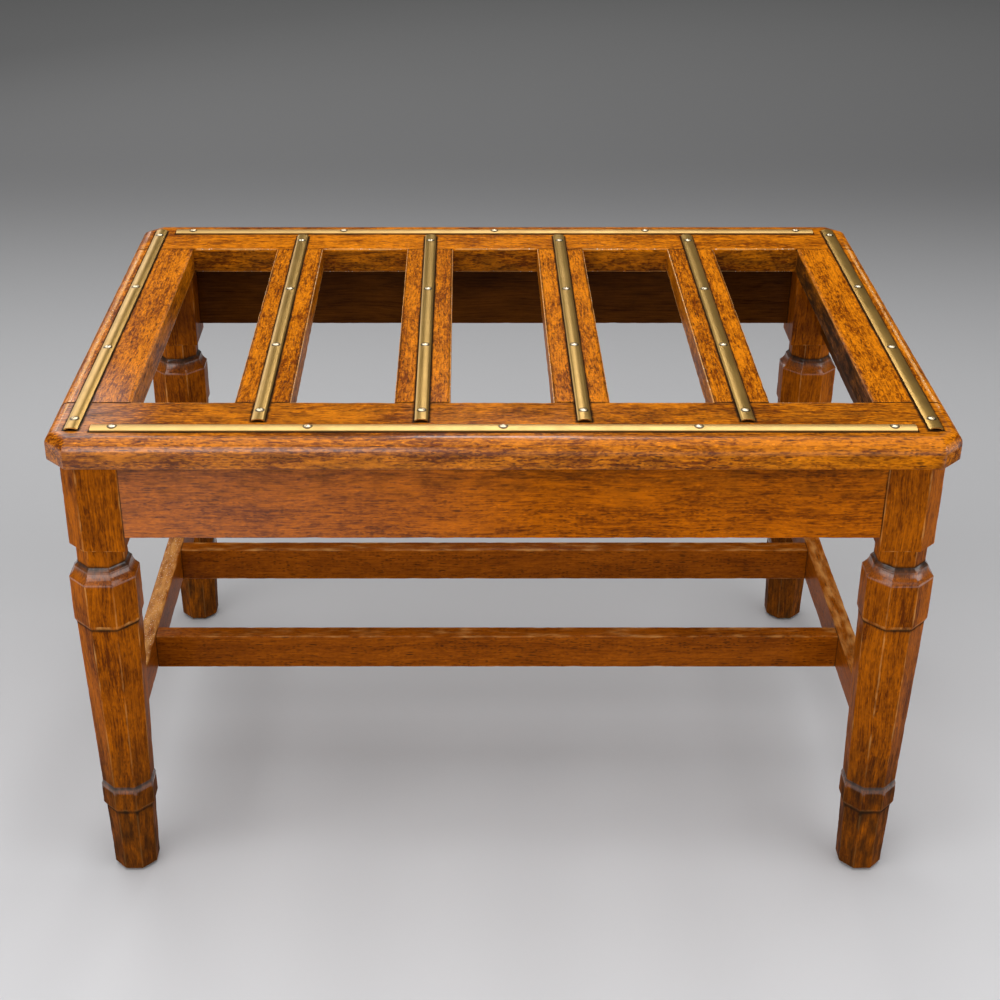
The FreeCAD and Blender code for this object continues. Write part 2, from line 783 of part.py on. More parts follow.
def make_screw(label):
    """Slotted raised-head screw, its head seated in the strip's countersink."""
    body = new_body(label)
    shank = size["screw_shank_diameter"] / 2
    head = size["screw_head_diameter"] / 2
    section = new_sketch(body, "XZ_Plane", label + "Section")
    closed_outline(section, [
        (NOUGHT, -size["screw_length"]), (shank, shank - size["screw_length"]),
        (shank, shank - head), (head, NOUGHT), (NOUGHT, size["screw_head_rise"])],
        {3: dome_bulge()})
    turned = body.newObject("PartDesign::Revolution", label + "Turned")
    turned.Profile = section
    turned.ReferenceAxis = (section, ["V_Axis"])
    turned.Angle = FULL_TURN_DEGREES
    body.Tip = turned
    slot = new_sketch(body, "XY_Plane", label + "Slot",
                      size["screw_head_rise"] - size["screw_slot_depth"])
    half = size["screw_slot_width"] / 2
    reach = head + size["overrun"]
    rectangle(slot, -reach, reach, -half, half)
    pocket(body, slot, size["overrun"], backwards=True)
    return body


def dome_bulge():
    """Rise of the head's curve over its chord, for a cap whose crown is level."""
    head = size["screw_head_diameter"] / 2
    rise = size["screw_head_rise"]
    return rise / 4 + rise * rise * rise / (head * head) / 8


def screw_places():
    """Every screw's place on the strips' middle lines, with the turn of its slot in degrees."""
    places = []
    for side in (-1, 1):
        places += [(x, long_strip_y * side)
                   for x in row_places(screw_reach(long_strip_length), LONG_STRIP_SCREW_COUNT)]
        places += [(end_strip_x * side, y)
                   for y in row_places(screw_reach(end_strip_length), END_STRIP_SCREW_COUNT)]
    for index in range(SLAT_COUNT):
        places += [(slat_x(index), y)
                   for y in row_places(screw_reach(slat_strip_length), SLAT_STRIP_SCREW_COUNT)]
    return places


SLOT_TURN_DEGREES = 47


def make_screws(label):
    """One screw copied to every place, each slot left at its own angle."""
    screw = make_screw("screw_pattern")
    copies = []
    for index, (x, y) in enumerate(screw_places()):
        copy = doc.addObject("App::Link", f"{label}Copy{index + 1}")
        copy.LinkedObject = screw
        copy.LinkTransform = False
        turn = Rotation(Vector(0, 0, 1), SLOT_TURN_DEGREES * index)
        copy.Placement = Placement(Vector(), turn)
        bind(copy, "Placement.Base.x", x)
        bind(copy, "Placement.Base.y", y)
        bind(copy, "Placement.Base.z", size["top_height"] + size["strip_height"])
        copies.append(copy)
    return group(label, copies)


# The rack, piece by piece

def make_top():
    rear = make_long_rail("rear_top_rail")
    front = mirrored(rear, "front_top_rail", FRONT_TO_BACK)
    right = make_end_rail("right_end_rail")
    left = mirrored(right, "left_end_rail", ACROSS)
    slats = [make_slat(f"slat_{index + 1}", index) for index in range(SLAT_COUNT)]
    return [front, rear, left, right] + slats


def make_legs():
    front_left = make_leg("front_left_leg")
    front_right = mirrored(front_left, "front_right_leg", ACROSS)
    rear_left = mirrored(front_left, "rear_left_leg", FRONT_TO_BACK)
    rear_right = mirrored(front_right, "rear_right_leg", FRONT_TO_BACK)
    return [front_left, front_right, rear_left, rear_right]


def make_aprons():
    long_span = leg_x - size["block_size"] / 2
    end_span = leg_y - size["block_size"] / 2
    long_places = dowel_places(long_span * 2, LONG_APRON_DOWEL_COUNT)
    end_places = dowel_places(end_span * 2, END_APRON_DOWEL_COUNT)
    return [
        make_apron("front_apron", long_span, (NOUGHT, -apron_y), long_places, 0),
        make_apron("rear_apron", long_span, (NOUGHT, apron_y), long_places, 0),
        make_apron("left_apron", end_span, (-apron_x, NOUGHT), end_places, QUARTER_TURN_DEGREES),
        make_apron("right_apron", end_span, (apron_x, NOUGHT), end_places, QUARTER_TURN_DEGREES)]


def make_stretchers():
    left = make_side_stretcher("left_side_stretcher")
    right = mirrored(left, "right_side_stretcher", ACROSS)
    front = make_long_stretcher("front_long_stretcher")
    rear = mirrored(front, "rear_long_stretcher", FRONT_TO_BACK)
    return [left, right, front, rear]


def make_strips():
    strips = []
    for label, side in (("front_brass_strip", -1), ("rear_brass_strip", 1)):
        strips.append(make_strip(label, plain_section, long_strip_length, LONG_STRIP_SCREW_COUNT,
                                 (NOUGHT, long_strip_y * side), 0))
    for label, side in (("left_brass_strip", -1), ("right_brass_strip", 1)):
        strips.append(make_strip(label, plain_section, end_strip_length, END_STRIP_SCREW_COUNT,
                                 (end_strip_x * side, NOUGHT), QUARTER_TURN_DEGREES))
    for index in range(SLAT_COUNT):
        strips.append(make_strip(f"slat_strip_{index + 1}", reeded_section, slat_strip_length,
                                 SLAT_STRIP_SCREW_COUNT, (slat_x(index), NOUGHT), QUARTER_TURN_DEGREES))
    return strips


def check_document():
    """Stops if any object failed or a cut took nothing away."""
    for item in doc.Objects:
        if {"Invalid", "Error"} & set(item.State):
            raise RuntimeError(f"{item.Name} failed: {item.State}")
        if item.TypeId in ("PartDesign::Pocket", "PartDesign::Groove"):
            if item.Shape.Volume >= item.BaseFeature.Shape.Volume:
                raise RuntimeError(f"{item.Name} cuts nothing")


def write_parts(pieces):
    os.makedirs("parts", exist_ok=True)
    for piece in pieces:
        shape = piece.Shape
        if shape.isNull() or not shape.isValid():
            raise RuntimeError(f"{piece.Label} has no valid shape")
    for piece in pieces:
        piece.Shape.exportStep(f"parts/{piece.Label}.step")
        box = piece.Shape.BoundBox
        print(f"{piece.Label}: {len(piece.Shape.Solids)} solids, "
              f"{box.XLength:.1f} x {box.YLength:.1f} x {box.ZLength:.1f}")


pieces = make_top() + make_legs() + make_aprons() + make_stretchers() + make_strips()
pieces += [make_dowels("top_dowels"), make_screws("strip_screws")]
doc.recompute()
check_document()
write_parts(pieces)
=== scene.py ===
"""Luggage rack: the looks of its oak frame and brass strips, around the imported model."""

import math

import bmesh
import bpy
from bpy.props import FloatProperty, FloatVectorProperty, PointerProperty
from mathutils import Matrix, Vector, noise


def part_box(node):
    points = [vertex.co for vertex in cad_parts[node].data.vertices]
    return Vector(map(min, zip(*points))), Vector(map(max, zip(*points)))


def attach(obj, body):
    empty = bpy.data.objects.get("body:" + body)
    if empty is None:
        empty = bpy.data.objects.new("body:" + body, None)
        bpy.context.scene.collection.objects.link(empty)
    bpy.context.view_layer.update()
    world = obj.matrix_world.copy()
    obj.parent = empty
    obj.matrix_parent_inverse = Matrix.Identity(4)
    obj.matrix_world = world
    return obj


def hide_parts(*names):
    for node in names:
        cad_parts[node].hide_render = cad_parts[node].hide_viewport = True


bl_info = {
    "name": "Luggage rack",
    "version": (1, 0, 0),
    "blender": (4, 5, 0),
    "location": "View3D > Sidebar > Luggage rack",
    "description": "Builds the oak frame, the brass strips and the stage of a luggage rack",
    "category": "Add Mesh",
}

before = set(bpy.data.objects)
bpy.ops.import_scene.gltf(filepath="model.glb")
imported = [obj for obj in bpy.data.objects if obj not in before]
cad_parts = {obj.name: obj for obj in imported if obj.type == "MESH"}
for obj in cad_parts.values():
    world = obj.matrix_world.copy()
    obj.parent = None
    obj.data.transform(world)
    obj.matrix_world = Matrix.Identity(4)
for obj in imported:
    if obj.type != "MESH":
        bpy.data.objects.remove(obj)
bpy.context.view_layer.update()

ALONG_X, ALONG_Y, ALONG_Z = 0, 1, 2
# Order of a point's coordinates in which the first one runs along the grain.
GRAIN_ORDER = {ALONG_X: (0, 1, 2), ALONG_Y: (1, 0, 2), ALONG_Z: (2, 0, 1)}
TINY = 1e-6
BROAD_FACE = 2.4  # a face wider than this many margins keeps its wear at its edges
JOINT_CUT = 0.0012  # depth of the dark seam at a joint
JOINT_MARGIN = 0.0014  # where the face is cut beside the seam
BELOW_TOP = 0.003  # how far below the upper face the darker side faces start
ROUND_START = 0.361  # where the round of the end rails starts, from the middle

LEG_SIDES = 8
LEG_PLACE_Y = 0.218
LEG_ARRIS = math.radians(14)
# Half width and height of each moulding of a leg, from the foot up.
LEG_PROFILE = (
    (0.0, 0.0), (0.01585, 0.0), (0.01935, 0.0035), (0.0210, 0.0700), (0.0233, 0.0745),
    (0.0233, 0.0950), (0.0221, 0.0980), (0.0265, 0.2710), (0.02825, 0.2750),
    (0.02825, 0.3170), (0.02636, 0.31877), (0.02486, 0.32078), (0.02374, 0.32302),
    (0.0230, 0.3255), (0.0230, 0.3265), (0.02025, 0.3295), (0.02025, 0.3500), (0.0, 0.3500))
# Height of each dark groove of a leg and how far the dark reaches up or down from it: old polish
# and painted shade in the hollows and under the block, and painted contact shade at the bottom of
# the foot.
LEG_POLISH_AND_SHADE = (
    (0.0980, 0.004), (0.0700, -0.003), (0.2710, -0.003), (0.3295, 0.004), (0.3480, -0.004),
    (0.0, 0.006), (0.3310, -0.015))
# Below this height the foot is painted darker towards the floor, as shade.
FOOT_SHADE_BELOW = 0.21
LEG_SHINE = ((0.0945, 0.0985), (0.3165, 0.3298))  # heights with a high polish
# Half width of a leg where the lower and the upper edge of a side stretcher meet it.
LEG_HALF_LOW, LEG_HALF_HIGH = 0.02293, 0.02383

# Name, patches, mottle, pores and polish of each kind of oak.
OAK_KINDS = {
    "top": ("Oak of the top", 1.0, 1.7, 0.8, 0.05),
    "apron": ("Oak of the aprons", 0.6, 1.0, 0.6, 0.05),
    # The insides are a darker copy of the oak, painted shade inside the frame, with little
    # polish.
    "inside": ("Oak of the insides, in painted shade", 0.6, 0.2, 0.5, 0.02),
    "stretcher": ("Oak of the stretchers", 0.6, 0.8, 0.8, 0.06),
    "leg": ("Oak of the legs", 0.9, 0.8, 0.45, 0.04),
}

# Place of one screw and spacing of the screws along the strips, then place of one strip and
# spacing of the strips across them.
LONG_ROWS = (0.0, 0.15825, 0.235, 0.47)
END_ROWS = (0.0735, 0.147, 0.3496, 0.6992)
SLAT_ROWS = (0.06817, 0.13633, 0.06668, 0.13336)
# Where brass is still clean and where it is fully dark with dust and painted shade: two heights
# at the foot of a strip, where the painted shade stands for its contact shadow, two distances
# from the middle of a screw, and two heights in its slot.
STRIP_FOOT = (0.4600, 0.4592)
SCREW_RING = (0.0047, 0.0036)
SCREW_SLOT = (0.46205, 0.46165)

LIGHT_RADIUS, LIGHT_HEIGHT = 3.2, 1.45


def tone(name, description, colour):
    """A colour that a user can change."""
    return FloatVectorProperty(name=name, description=description, subtype="COLOR", size=3,
                               min=0.0, max=1.0, default=colour)


def length(name, description, metres):
    """A length that a user can change."""
    return FloatProperty(name=name, description=description, subtype="DISTANCE",
                         unit="LENGTH", min=0.0, default=metres)


def share(name, description, value):
    """A share or strength that a user can change."""
    return FloatProperty(name=name, description=description, subtype="FACTOR", min=0.0,
                         max=1.0, default=value)


def power(name, description, watts):
    """The power of a light that a user can change."""
    return FloatProperty(name=name, description=description, unit="POWER", min=0.0,
                         default=watts)


class RackSizes(bpy.types.PropertyGroup):
    """Sizes of the softened edges and of the leg's block."""

    edge_round: length("Edge round", "Radius of the top's outer edge", 0.010)
    under_round: length("Under round", "Radius of the top's lower outer edge", 0.002)
    corner_cant: length("Corner cant", "Cut across the corners of the top", 0.0175)
    worn_edge: length("Worn edge", "Width of the worn edges", 0.0009)
    joint_edge: length("Joint edge", "Width of the grooves at the joints", 0.00025)
    leg_edge: length("Leg edge", "Width of the worn edges of the legs", 0.00045)
    wear_margin: length("Wear margin", "How far wear reaches into a face", 0.0028)
    dent_depth: length("Dent depth", "Depth of the dents along the edges", 0.0007)
    slice_step: length("Slice step", "Distance of the cuts that carry dents", 0.005)
    shoulder_gap: length("Shoulder gap", "Gap between a shoulder and its post", 0.00015)
    block_half: length("Block half width", "Half of the leg's block", 0.025)
    block_cant: length("Block cant", "Cut across the outer corner of the block", 0.015)
    block_bottom: length("Block bottom", "Height of the block's lower face", 0.348)
    block_top: length("Block top", "Height of the block's upper face", 0.434)
    block_bevel_run: length("Block bevel run", "Width of the bevel under the block", 0.00475)
    block_bevel_rise: length("Block bevel rise", "Height of the bevel under the block", 0.0065)


class RackWood(bpy.types.PropertyGroup):
    """Tones and polish of the oak."""

    top_light: tone("Top, light", "Light figure of the top", (0.63, 0.185, 0.003))
    top_dark: tone("Top, dark", "Dark figure of the top", (0.15, 0.030, 0.001))
    apron_light: tone("Apron, light", "Light figure of the aprons", (0.47, 0.115, 0.001))
    apron_dark: tone("Apron, dark", "Dark figure of the aprons", (0.13, 0.026, 0.001))
    leg_light: tone("Leg, light", "Light figure of the legs", (0.38, 0.095, 0.001))
    leg_dark: tone("Leg, dark", "Dark figure of the legs", (0.09, 0.018, 0.001))
    stretcher_light: tone("Stretcher, light", "Light figure of the stretchers",
                          (0.30, 0.072, 0.002))
    stretcher_dark: tone("Stretcher, dark", "Dark figure of the stretchers",
                         (0.13, 0.027, 0.001))
    # Tones of the insides, darkened as painted shade.
    inside_light: tone("Inside, light", "Light figure of the insides", (0.120, 0.036, 0.003))
    inside_dark: tone("Inside, dark", "Dark figure of the insides", (0.034, 0.009, 0.001))
    pores: tone("Pores", "Open pores of the oak", (0.045, 0.012, 0.002))
    grime_and_shade: tone("Grime and shade", "Old polish, dust and painted shade in corners", (0.022, 0.010, 0.004))
    worn: tone("Worn", "Wood on worn edges", (0.74, 0.36, 0.10))
    specks: tone("Specks", "Bare specks and painted glints on worn edges", (0.85, 0.74, 0.60))
    roughness: share("Roughness", "Roughness of the polish", 0.34)


class RackBrass(bpy.types.PropertyGroup):
    """Tones and polish of the brass."""

    strip: tone("Strip", "Bright brass of the front strip", (0.70, 0.45, 0.155))
    rear_strip: tone("Rear strip", "Brass of the rear strip", (0.52, 0.33, 0.115))
    slat_strip: tone("Slat strip", "Brass of the other strips", (0.58, 0.345, 0.085))
    tarnish: tone("Tarnish", "Dull brass of the strips", (0.34, 0.180, 0.030))
    screw: tone("Screw", "Brass of the screws", (0.80, 0.68, 0.48))
    grime_and_shade: tone("Grime and shade", "Dirt beside the strips", (0.030, 0.018, 0.008))
    roughness: share("Roughness", "Roughness of the brass", 0.30)
    dull_roughness: share("Dull roughness", "Roughness of the two long strips", 0.44)


class RackStage(bpy.types.PropertyGroup):
    """Floor and studio light."""

    # Floor tones that paint the fall of the light with distance, and shade in front of the
    # camera.
    floor_near: tone("Floor, near", "Floor in front of the rack", (0.62, 0.62, 0.633))
    floor_behind: tone("Floor, behind", "Floor just behind the rack", (0.40, 0.40, 0.407))
    floor_middle: tone("Floor, middle", "Floor further behind the rack", (0.178, 0.178, 0.18))
    floor_far: tone("Floor, far", "Floor far behind the rack", (0.40, 0.40, 0.40))
    floor_front: tone("Floor, front", "Floor in front of the camera", (0.42, 0.42, 0.427))
    top_light: power("Top light", "Power of the light above", 90.0)
    left_light: power("Left light", "Power of the light in front on the left", 58.0)
    right_light: power("Right light", "Power of the light in front on the right", 48.0)
    side_light: power("Side light", "Power of the light behind on the left", 9.0)
    back_light: power("Back light", "Power of the light behind", 7.0)
    room: share("Room light", "Strength of the light all round", 0.03)
    backdrop: tone("Backdrop", "Grey of the room beyond the floor", (0.11, 0.11, 0.112))


def add_layers(block):
    """The layers for wear, for dust and painted shade, for polish and for grain."""
    for name in ("worn", "grime_and_shade", "shine"):
        block.verts.layers.float.new(name)
    block.verts.layers.float_vector.new("grain")


def new_block(low, high):
    """A box between two corners, with the layers of a piece."""
    block = bmesh.new()
    add_layers(block)
    bmesh.ops.create_cube(block, size=1.0)
    bmesh.ops.scale(block, vec=Vector(high) - Vector(low), verts=block.verts)
    bmesh.ops.translate(block, vec=(Vector(low) + Vector(high)) / 2, verts=block.verts)
    return block


def new_outline(points):
    """An open chain of points in the XZ plane, with the layers of a block."""
    block = bmesh.new()
    add_layers(block)
    chain = [block.verts.new((x, 0.0, z)) for x, z in points]
    for start, end in zip(chain, chain[1:]):
        block.edges.new((start, end))
    return block


def edges_where(block, test):
    """Edges whose middle point passes the test."""
    return [edge for edge in block.edges
            if test((edge.verts[0].co + edge.verts[1].co) / 2)]


def mark(block, verts, worn, grime_and_shade, shine):
    """Writes down how worn, how dark with dust and painted shade, or how polished some points
    are.
    """
    layers = block.verts.layers.float
    for vert in verts:
        vert[layers["worn"]] = worn
        vert[layers["grime_and_shade"]] = grime_and_shade
        vert[layers["shine"]] = shine


def soften(block, edges, width, steps, worn=0.0, grime_and_shade=0.0, shine=0.0):
    """Rounds edges and marks how worn, how dark with dust and painted shade, or how polished they
    are.
    """
    made = bmesh.ops.bevel(block, geom=edges, offset=width, offset_type="OFFSET",
                           segments=steps, profile=0.5, affect="EDGES", material=-1,
                           clamp_overlap=True)
    mark(block, made["verts"], worn, grime_and_shade, shine)


def keep_margin(block, margin):
    """Keeps the wear of the broad faces within a margin along their edges."""
    broad = [face for face in block.faces
             if 2 * face.calc_area() > BROAD_FACE * margin * face.calc_perimeter()]
    bmesh.ops.inset_individual(block, faces=broad, thickness=margin, use_even_offset=True)
    mark(block, {vert for face in broad for vert in face.verts}, 0.0, 0.0, 0.0)


def cut_at(block, axis, place):
    """Cuts a ring of edges across the block."""
    normal = Vector((0.0, 0.0, 0.0))
    normal[axis] = 1.0
    geometry = block.verts[:] + block.edges[:] + block.faces[:]
    bmesh.ops.bisect_plane(block, geom=geometry, dist=TINY, plane_co=normal * place,
                           plane_no=normal)


def slice_along(block, axis, step):
    """Cuts the block into slices along its grain."""
    places = [vert.co[axis] for vert in block.verts]
    low, high = min(places), max(places)
    count = max(1, round((high - low) / step))
    for index in range(1, count):
        cut_at(block, axis, low + (high - low) * index / count)


def dent(block, depth, seed):
    """Knocks small dents into the worn edges."""
    block.normal_update()
    worn_layer = block.verts.layers.float["worn"]
    shift = Vector((seed * 3.1, seed * 1.7, seed * 2.3))
    for vert in block.verts:
        if vert[worn_layer] > 0.5:
            knock = max(0.0, noise.noise(vert.co * 85 + shift) - 0.08)
            chip = max(0.0, noise.noise(vert.co * 320 + shift) - 0.25)
            vert.co -= vert.normal * depth * (knock + chip)


def lay_grain(block, axis, seed):
    """Stores where each point lies along and across the grain."""
    grain = block.verts.layers.float_vector["grain"]
    shift = Vector((seed * 0.73, seed * 0.31, seed * 0.57))
    for vert in block.verts:
        vert[grain] = Vector([vert.co[i] for i in GRAIN_ORDER[axis]]) + shift


def hand_over(block, name, node, material):
    """Turns the block into a piece that stands for its node."""
    bmesh.ops.recalc_face_normals(block, faces=block.faces[:])
    low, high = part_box(node)
    for vert in block.verts:
        vert.co = [min(max(place, least), most) for place, least, most in zip(vert.co, low, high)]
    mesh = bpy.data.meshes.new(name)
    block.to_mesh(mesh)
    block.free()
    mesh.materials.append(material)
    mesh.shade_smooth()
    mesh.set_sharp_from_angle(angle=math.radians(50))
    piece = bpy.data.objects.new(name, mesh)
    bpy.context.scene.collection.objects.link(piece)
    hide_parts(node)
    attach(piece, "root")
    return piece


STRIP_NODES = ("front_brass_strip", "rear_brass_strip", "left_brass_strip",
               "right_brass_strip", "slat_strip_1", "slat_strip_2", "slat_strip_3",
               "slat_strip_4")
STRIP_BOXES = [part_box(node) for node in STRIP_NODES]
# Reach of the dark band beside each strip: dust, and a painted shadow of the strip.
SHADOW_AND_GRIME_REACHES = (0.0, 0.0011, 0.0030)


def dust_and_shadow_beside_strip(point):
    """How dark a point of the top is painted, by its distance to the nearest strip: dust and a
    painted shadow along the strip.
    """
    nearest = min(max(low.x - point.x, point.x - high.x, low.y - point.y, point.y - high.y)
                  for low, high in STRIP_BOXES)
    return max(0.0, min(1.0, 1.3 * (1.0 - nearest / SHADOW_AND_GRIME_REACHES[-1])))


def cut_beside_strips(block, low, high):
    """Cuts the block along the sides of the strips that lie on it."""
    for box_low, box_high in STRIP_BOXES:
        if box_low.x > high.x or box_high.x < low.x or box_low.y > high.y or box_high.y < low.y:
            continue
        for axis in (ALONG_X, ALONG_Y):
            for reach in SHADOW_AND_GRIME_REACHES:
                for place in (box_low[axis] - reach, box_high[axis] + reach):
                    if low[axis] < place < high[axis]:
                        cut_at(block, axis, place)


def between(value, start, end):
    """Zero at the start, one at the end, and limited to these outside."""
    return max(0.0, min(1.0, (value - start) / (end - start)))


def finish_faces(block, level, shaded_faces, top_darkening=0.0, dull=0.34):
    """Polishes the upper face, and darkens it along the strips with dust and a painted shadow,
    and some faces below it with painted shade.
    """
    grime_and_shade = block.verts.layers.float["grime_and_shade"]
    shine = block.verts.layers.float["shine"]
    worn = block.verts.layers.float["worn"]
    for vert in block.verts:
        if vert.co.z > level - TINY:
            # Along the left end's outer edge a lighter worn tone paints a highlight line.
            if vert.co.x < TINY - ROUND_START:
                vert[worn] = max(vert[worn], 1.1)
            # Dust and a painted shadow beside the strips.
            vert[grime_and_shade] = max(vert[grime_and_shade], dust_and_shadow_beside_strip(vert.co), top_darkening)
            corner = between(vert.co.x, -0.28, -0.36) * between(vert.co.y, -0.10, -0.22)
            vert[shine] = max(vert[shine], 0.06 + 0.6 * corner)
        # Painted shade on the faces below the top; the dull value sets its strength.
        elif vert.co.z < level - BELOW_TOP and shaded_faces(vert.co):
            vert[grime_and_shade] = max(vert[grime_and_shade], dull)


def add_node(tree, kind, inputs=None, **settings):
    """A node with its settings and inputs; an input is a value or another socket."""
    node = tree.nodes.new(kind)
    for name, value in settings.items():
        setattr(node, name, value)
    for key, value in (inputs or {}).items():
        if isinstance(value, bpy.types.NodeSocket):
            tree.links.new(value, node.inputs[key])
        else:
            node.inputs[key].default_value = value
    return node


def calculate(tree, operation, *values):
    """The result of a Math node."""
    return add_node(tree, "ShaderNodeMath", dict(enumerate(values)),
                    operation=operation).outputs["Value"]


def ramp(tree, value, low, high, smooth=True):
    """Spreads the values between low and high over zero to one."""
    kind = "SMOOTHSTEP" if smooth else "LINEAR"
    return add_node(tree, "ShaderNodeMapRange",
                    {"Value": value, "From Min": low, "From Max": high},
                    interpolation_type=kind).outputs["Result"]


def blend(tree, factor, first, second, kind="MIX"):
    """The mix of two colours, whose sockets come after those for numbers and vectors."""
    return add_node(tree, "ShaderNodeMix", {0: factor, 6: first, 7: second},
                    data_type="RGBA", blend_type=kind).outputs[2]


def stretched(tree, vector, scale, shift=(0.0, 0.0, 0.0), detail=2.0, roughness=0.5,
              distortion=0.0):
    """Noise drawn out along the grain."""
    place = add_node(tree, "ShaderNodeMapping",
                     {"Vector": vector, "Scale": scale, "Location": shift})
    return add_node(tree, "ShaderNodeTexNoise",
                    {"Vector": place.outputs["Vector"], "Scale": 1.0, "Detail": detail,
                     "Roughness": roughness, "Distortion": distortion}).outputs["Fac"]


def new_group(name, inputs, outputs):
    """A node group with named sockets; returns the tree and its two end nodes."""
    tree = bpy.data.node_groups.new(name, "ShaderNodeTree")
    for label, kind in inputs:
        tree.interface.new_socket(label, in_out="INPUT", socket_type="NodeSocket" + kind)
    for label, kind in outputs:
        tree.interface.new_socket(label, in_out="OUTPUT", socket_type="NodeSocket" + kind)
    return tree, tree.nodes.new("NodeGroupInput"), tree.nodes.new("NodeGroupOutput")


def pore_rows(tree, vector, scale, thickness, share_of_cells):
    """Short dark dashes along the grain, in a share of the cells."""
    place = add_node(tree, "ShaderNodeMapping", {"Vector": vector, "Scale": scale})
    cells = add_node(tree, "ShaderNodeTexVoronoi",
                     {"Vector": place.outputs["Vector"], "Scale": 1.0}, feature="F1")
    pick = add_node(tree, "ShaderNodeSeparateColor", {"Color": cells.outputs["Color"]})
    chosen = ramp(tree, pick.outputs["Red"], 1.0 - share_of_cells, 1.08 - share_of_cells)
    dash = ramp(tree, cells.outputs["Distance"], thickness * 1.5, thickness * 0.7)
    return calculate(tree, "MULTIPLY", dash, chosen)


def oak_grain_group():
    """Figure, streaks, pores and flecks of old polished oak."""
    if "Oak grain" in bpy.data.node_groups:
        return bpy.data.node_groups["Oak grain"]
    tree, given, result = new_group(
        "Oak grain",
        [("Grain", "Vector"), ("Light", "Color"), ("Dark", "Color"), ("Pore", "Color"),
         ("Patches", "Float"), ("Mottle", "Float"), ("Pores", "Float")],
        [("Color", "Color"), ("Height", "Float"), ("Dull", "Float")])
    grain = given.outputs["Grain"]
    sway = add_node(tree, "ShaderNodeTexNoise", {"Vector": grain, "Scale": 9.0, "Detail": 1.0})
    bent = add_node(tree, "ShaderNodeVectorMath",
                    {0: sway.outputs["Color"], 1: (0.0, 0.012, 0.012), 2: grain},
                    operation="MULTIPLY_ADD").outputs["Vector"]
    bands = stretched(tree, bent, (5.0, 75.0, 75.0), detail=2.0)
    streaks = stretched(tree, bent, (26.0, 720.0, 720.0), detail=3.0, roughness=0.6)
    mottle = stretched(tree, bent, (130.0, 430.0, 430.0), (5.0, 2.0, 9.0), detail=3.0,
                       roughness=0.62, distortion=0.7)
    patches = stretched(tree, bent, (20.0, 42.0, 42.0), (3.0, 1.0, 7.0), detail=3.0,
                        roughness=0.6)
    figure = calculate(tree, "MULTIPLY_ADD", bands, 0.5, 0.25)
    for source, weight in ((streaks, 1.0), (mottle, given.outputs["Mottle"]),
                           (patches, given.outputs["Patches"])):
        swing = calculate(tree, "SUBTRACT", source, 0.5)
        figure = calculate(tree, "MULTIPLY_ADD", swing, weight, figure)
    figure = ramp(tree, figure, 0.22, 0.78, smooth=False)
    colour = blend(tree, figure, given.outputs["Dark"], given.outputs["Light"])
    fine = pore_rows(tree, bent, (230.0, 680.0, 680.0), 0.34, 0.42)
    coarse = pore_rows(tree, bent, (75.0, 520.0, 520.0), 0.27, 0.24)
    open_rows = ramp(tree, bands, 0.70, 0.35)
    open_rows = calculate(tree, "MULTIPLY_ADD", open_rows, 0.6, 0.3)
    pores = calculate(tree, "MULTIPLY", fine, open_rows)
    pores = calculate(tree, "MAXIMUM", pores, coarse)
    pores = calculate(tree, "MULTIPLY", pores, given.outputs["Pores"])
    colour = blend(tree, pores, colour, given.outputs["Pore"])
    flecks = pore_rows(tree, bent, (240.0, 560.0, 560.0), 0.32, 0.16)
    share_of_flecks = calculate(tree, "MULTIPLY", given.outputs["Mottle"], 0.22)
    flecks = calculate(tree, "MULTIPLY", flecks, share_of_flecks)
    colour = blend(tree, flecks, colour, given.outputs["Light"], kind="ADD")
    height = calculate(tree, "SUBTRACT", calculate(tree, "MULTIPLY", streaks, 0.4), pores)
    tree.links.new(colour, result.inputs["Color"])
    tree.links.new(height, result.inputs["Height"])
    tree.links.new(patches, result.inputs["Dull"])
    return tree


def wear_glints_and_shade_group():
    """Worn edges with bare specks and painted glints, and dust and painted shade in corners."""
    if "Edge wear, glints and shade" in bpy.data.node_groups:
        return bpy.data.node_groups["Edge wear, glints and shade"]
    tree, given, result = new_group(
        "Edge wear, glints and shade", [("Worn", "Float"), ("Grime and shade", "Float"), ("Place", "Vector")],
        [("Rubbed", "Float"), ("Specks", "Float"), ("Dirt and shade", "Float")])
    place = given.outputs["Place"]
    worn = given.outputs["Worn"]
    broken = stretched(tree, place, (45.0, 150.0, 150.0), detail=3.0)
    rubbed = calculate(tree, "ADD", worn, calculate(tree, "MULTIPLY", broken, 1.1))
    rubbed = ramp(tree, rubbed, 1.22, 1.80)
    fine = add_node(tree, "ShaderNodeTexNoise",
                    {"Vector": place, "Scale": 640.0, "Detail": 2.0}).outputs["Fac"]
    # The pale specks are bare wood and also painted glints on the edges.
    specks = calculate(tree, "ADD", calculate(tree, "MULTIPLY", worn, 0.16), fine)
    specks = calculate(tree, "MULTIPLY", ramp(tree, specks, 0.79, 0.84),
                       ramp(tree, worn, 0.80, 1.15))
    # Dust, old polish and painted shade from the attribute, broken up by noise.
    uneven = calculate(tree, "MULTIPLY", calculate(tree, "SUBTRACT", broken, 0.5), 0.8)
    dirt_and_shade = ramp(tree, calculate(tree, "ADD", given.outputs["Grime and shade"], uneven), 0.12, 0.95)
    tree.links.new(rubbed, result.inputs["Rubbed"])
    tree.links.new(specks, result.inputs["Specks"])
    tree.links.new(dirt_and_shade, result.inputs["Dirt and shade"])
    return tree


def four(colour):
    """A colour with its alpha."""
    return (*colour, 1.0)


def attribute(tree, name):
    """An attribute of the mesh."""
    return add_node(tree, "ShaderNodeAttribute", attribute_name=name)


def new_material(name):
    """An empty material; returns it with its tree and its shader."""
    material = bpy.data.materials.new(name)
    material.use_nodes = True
    tree = material.node_tree
    return material, tree, tree.nodes["Principled BSDF"]


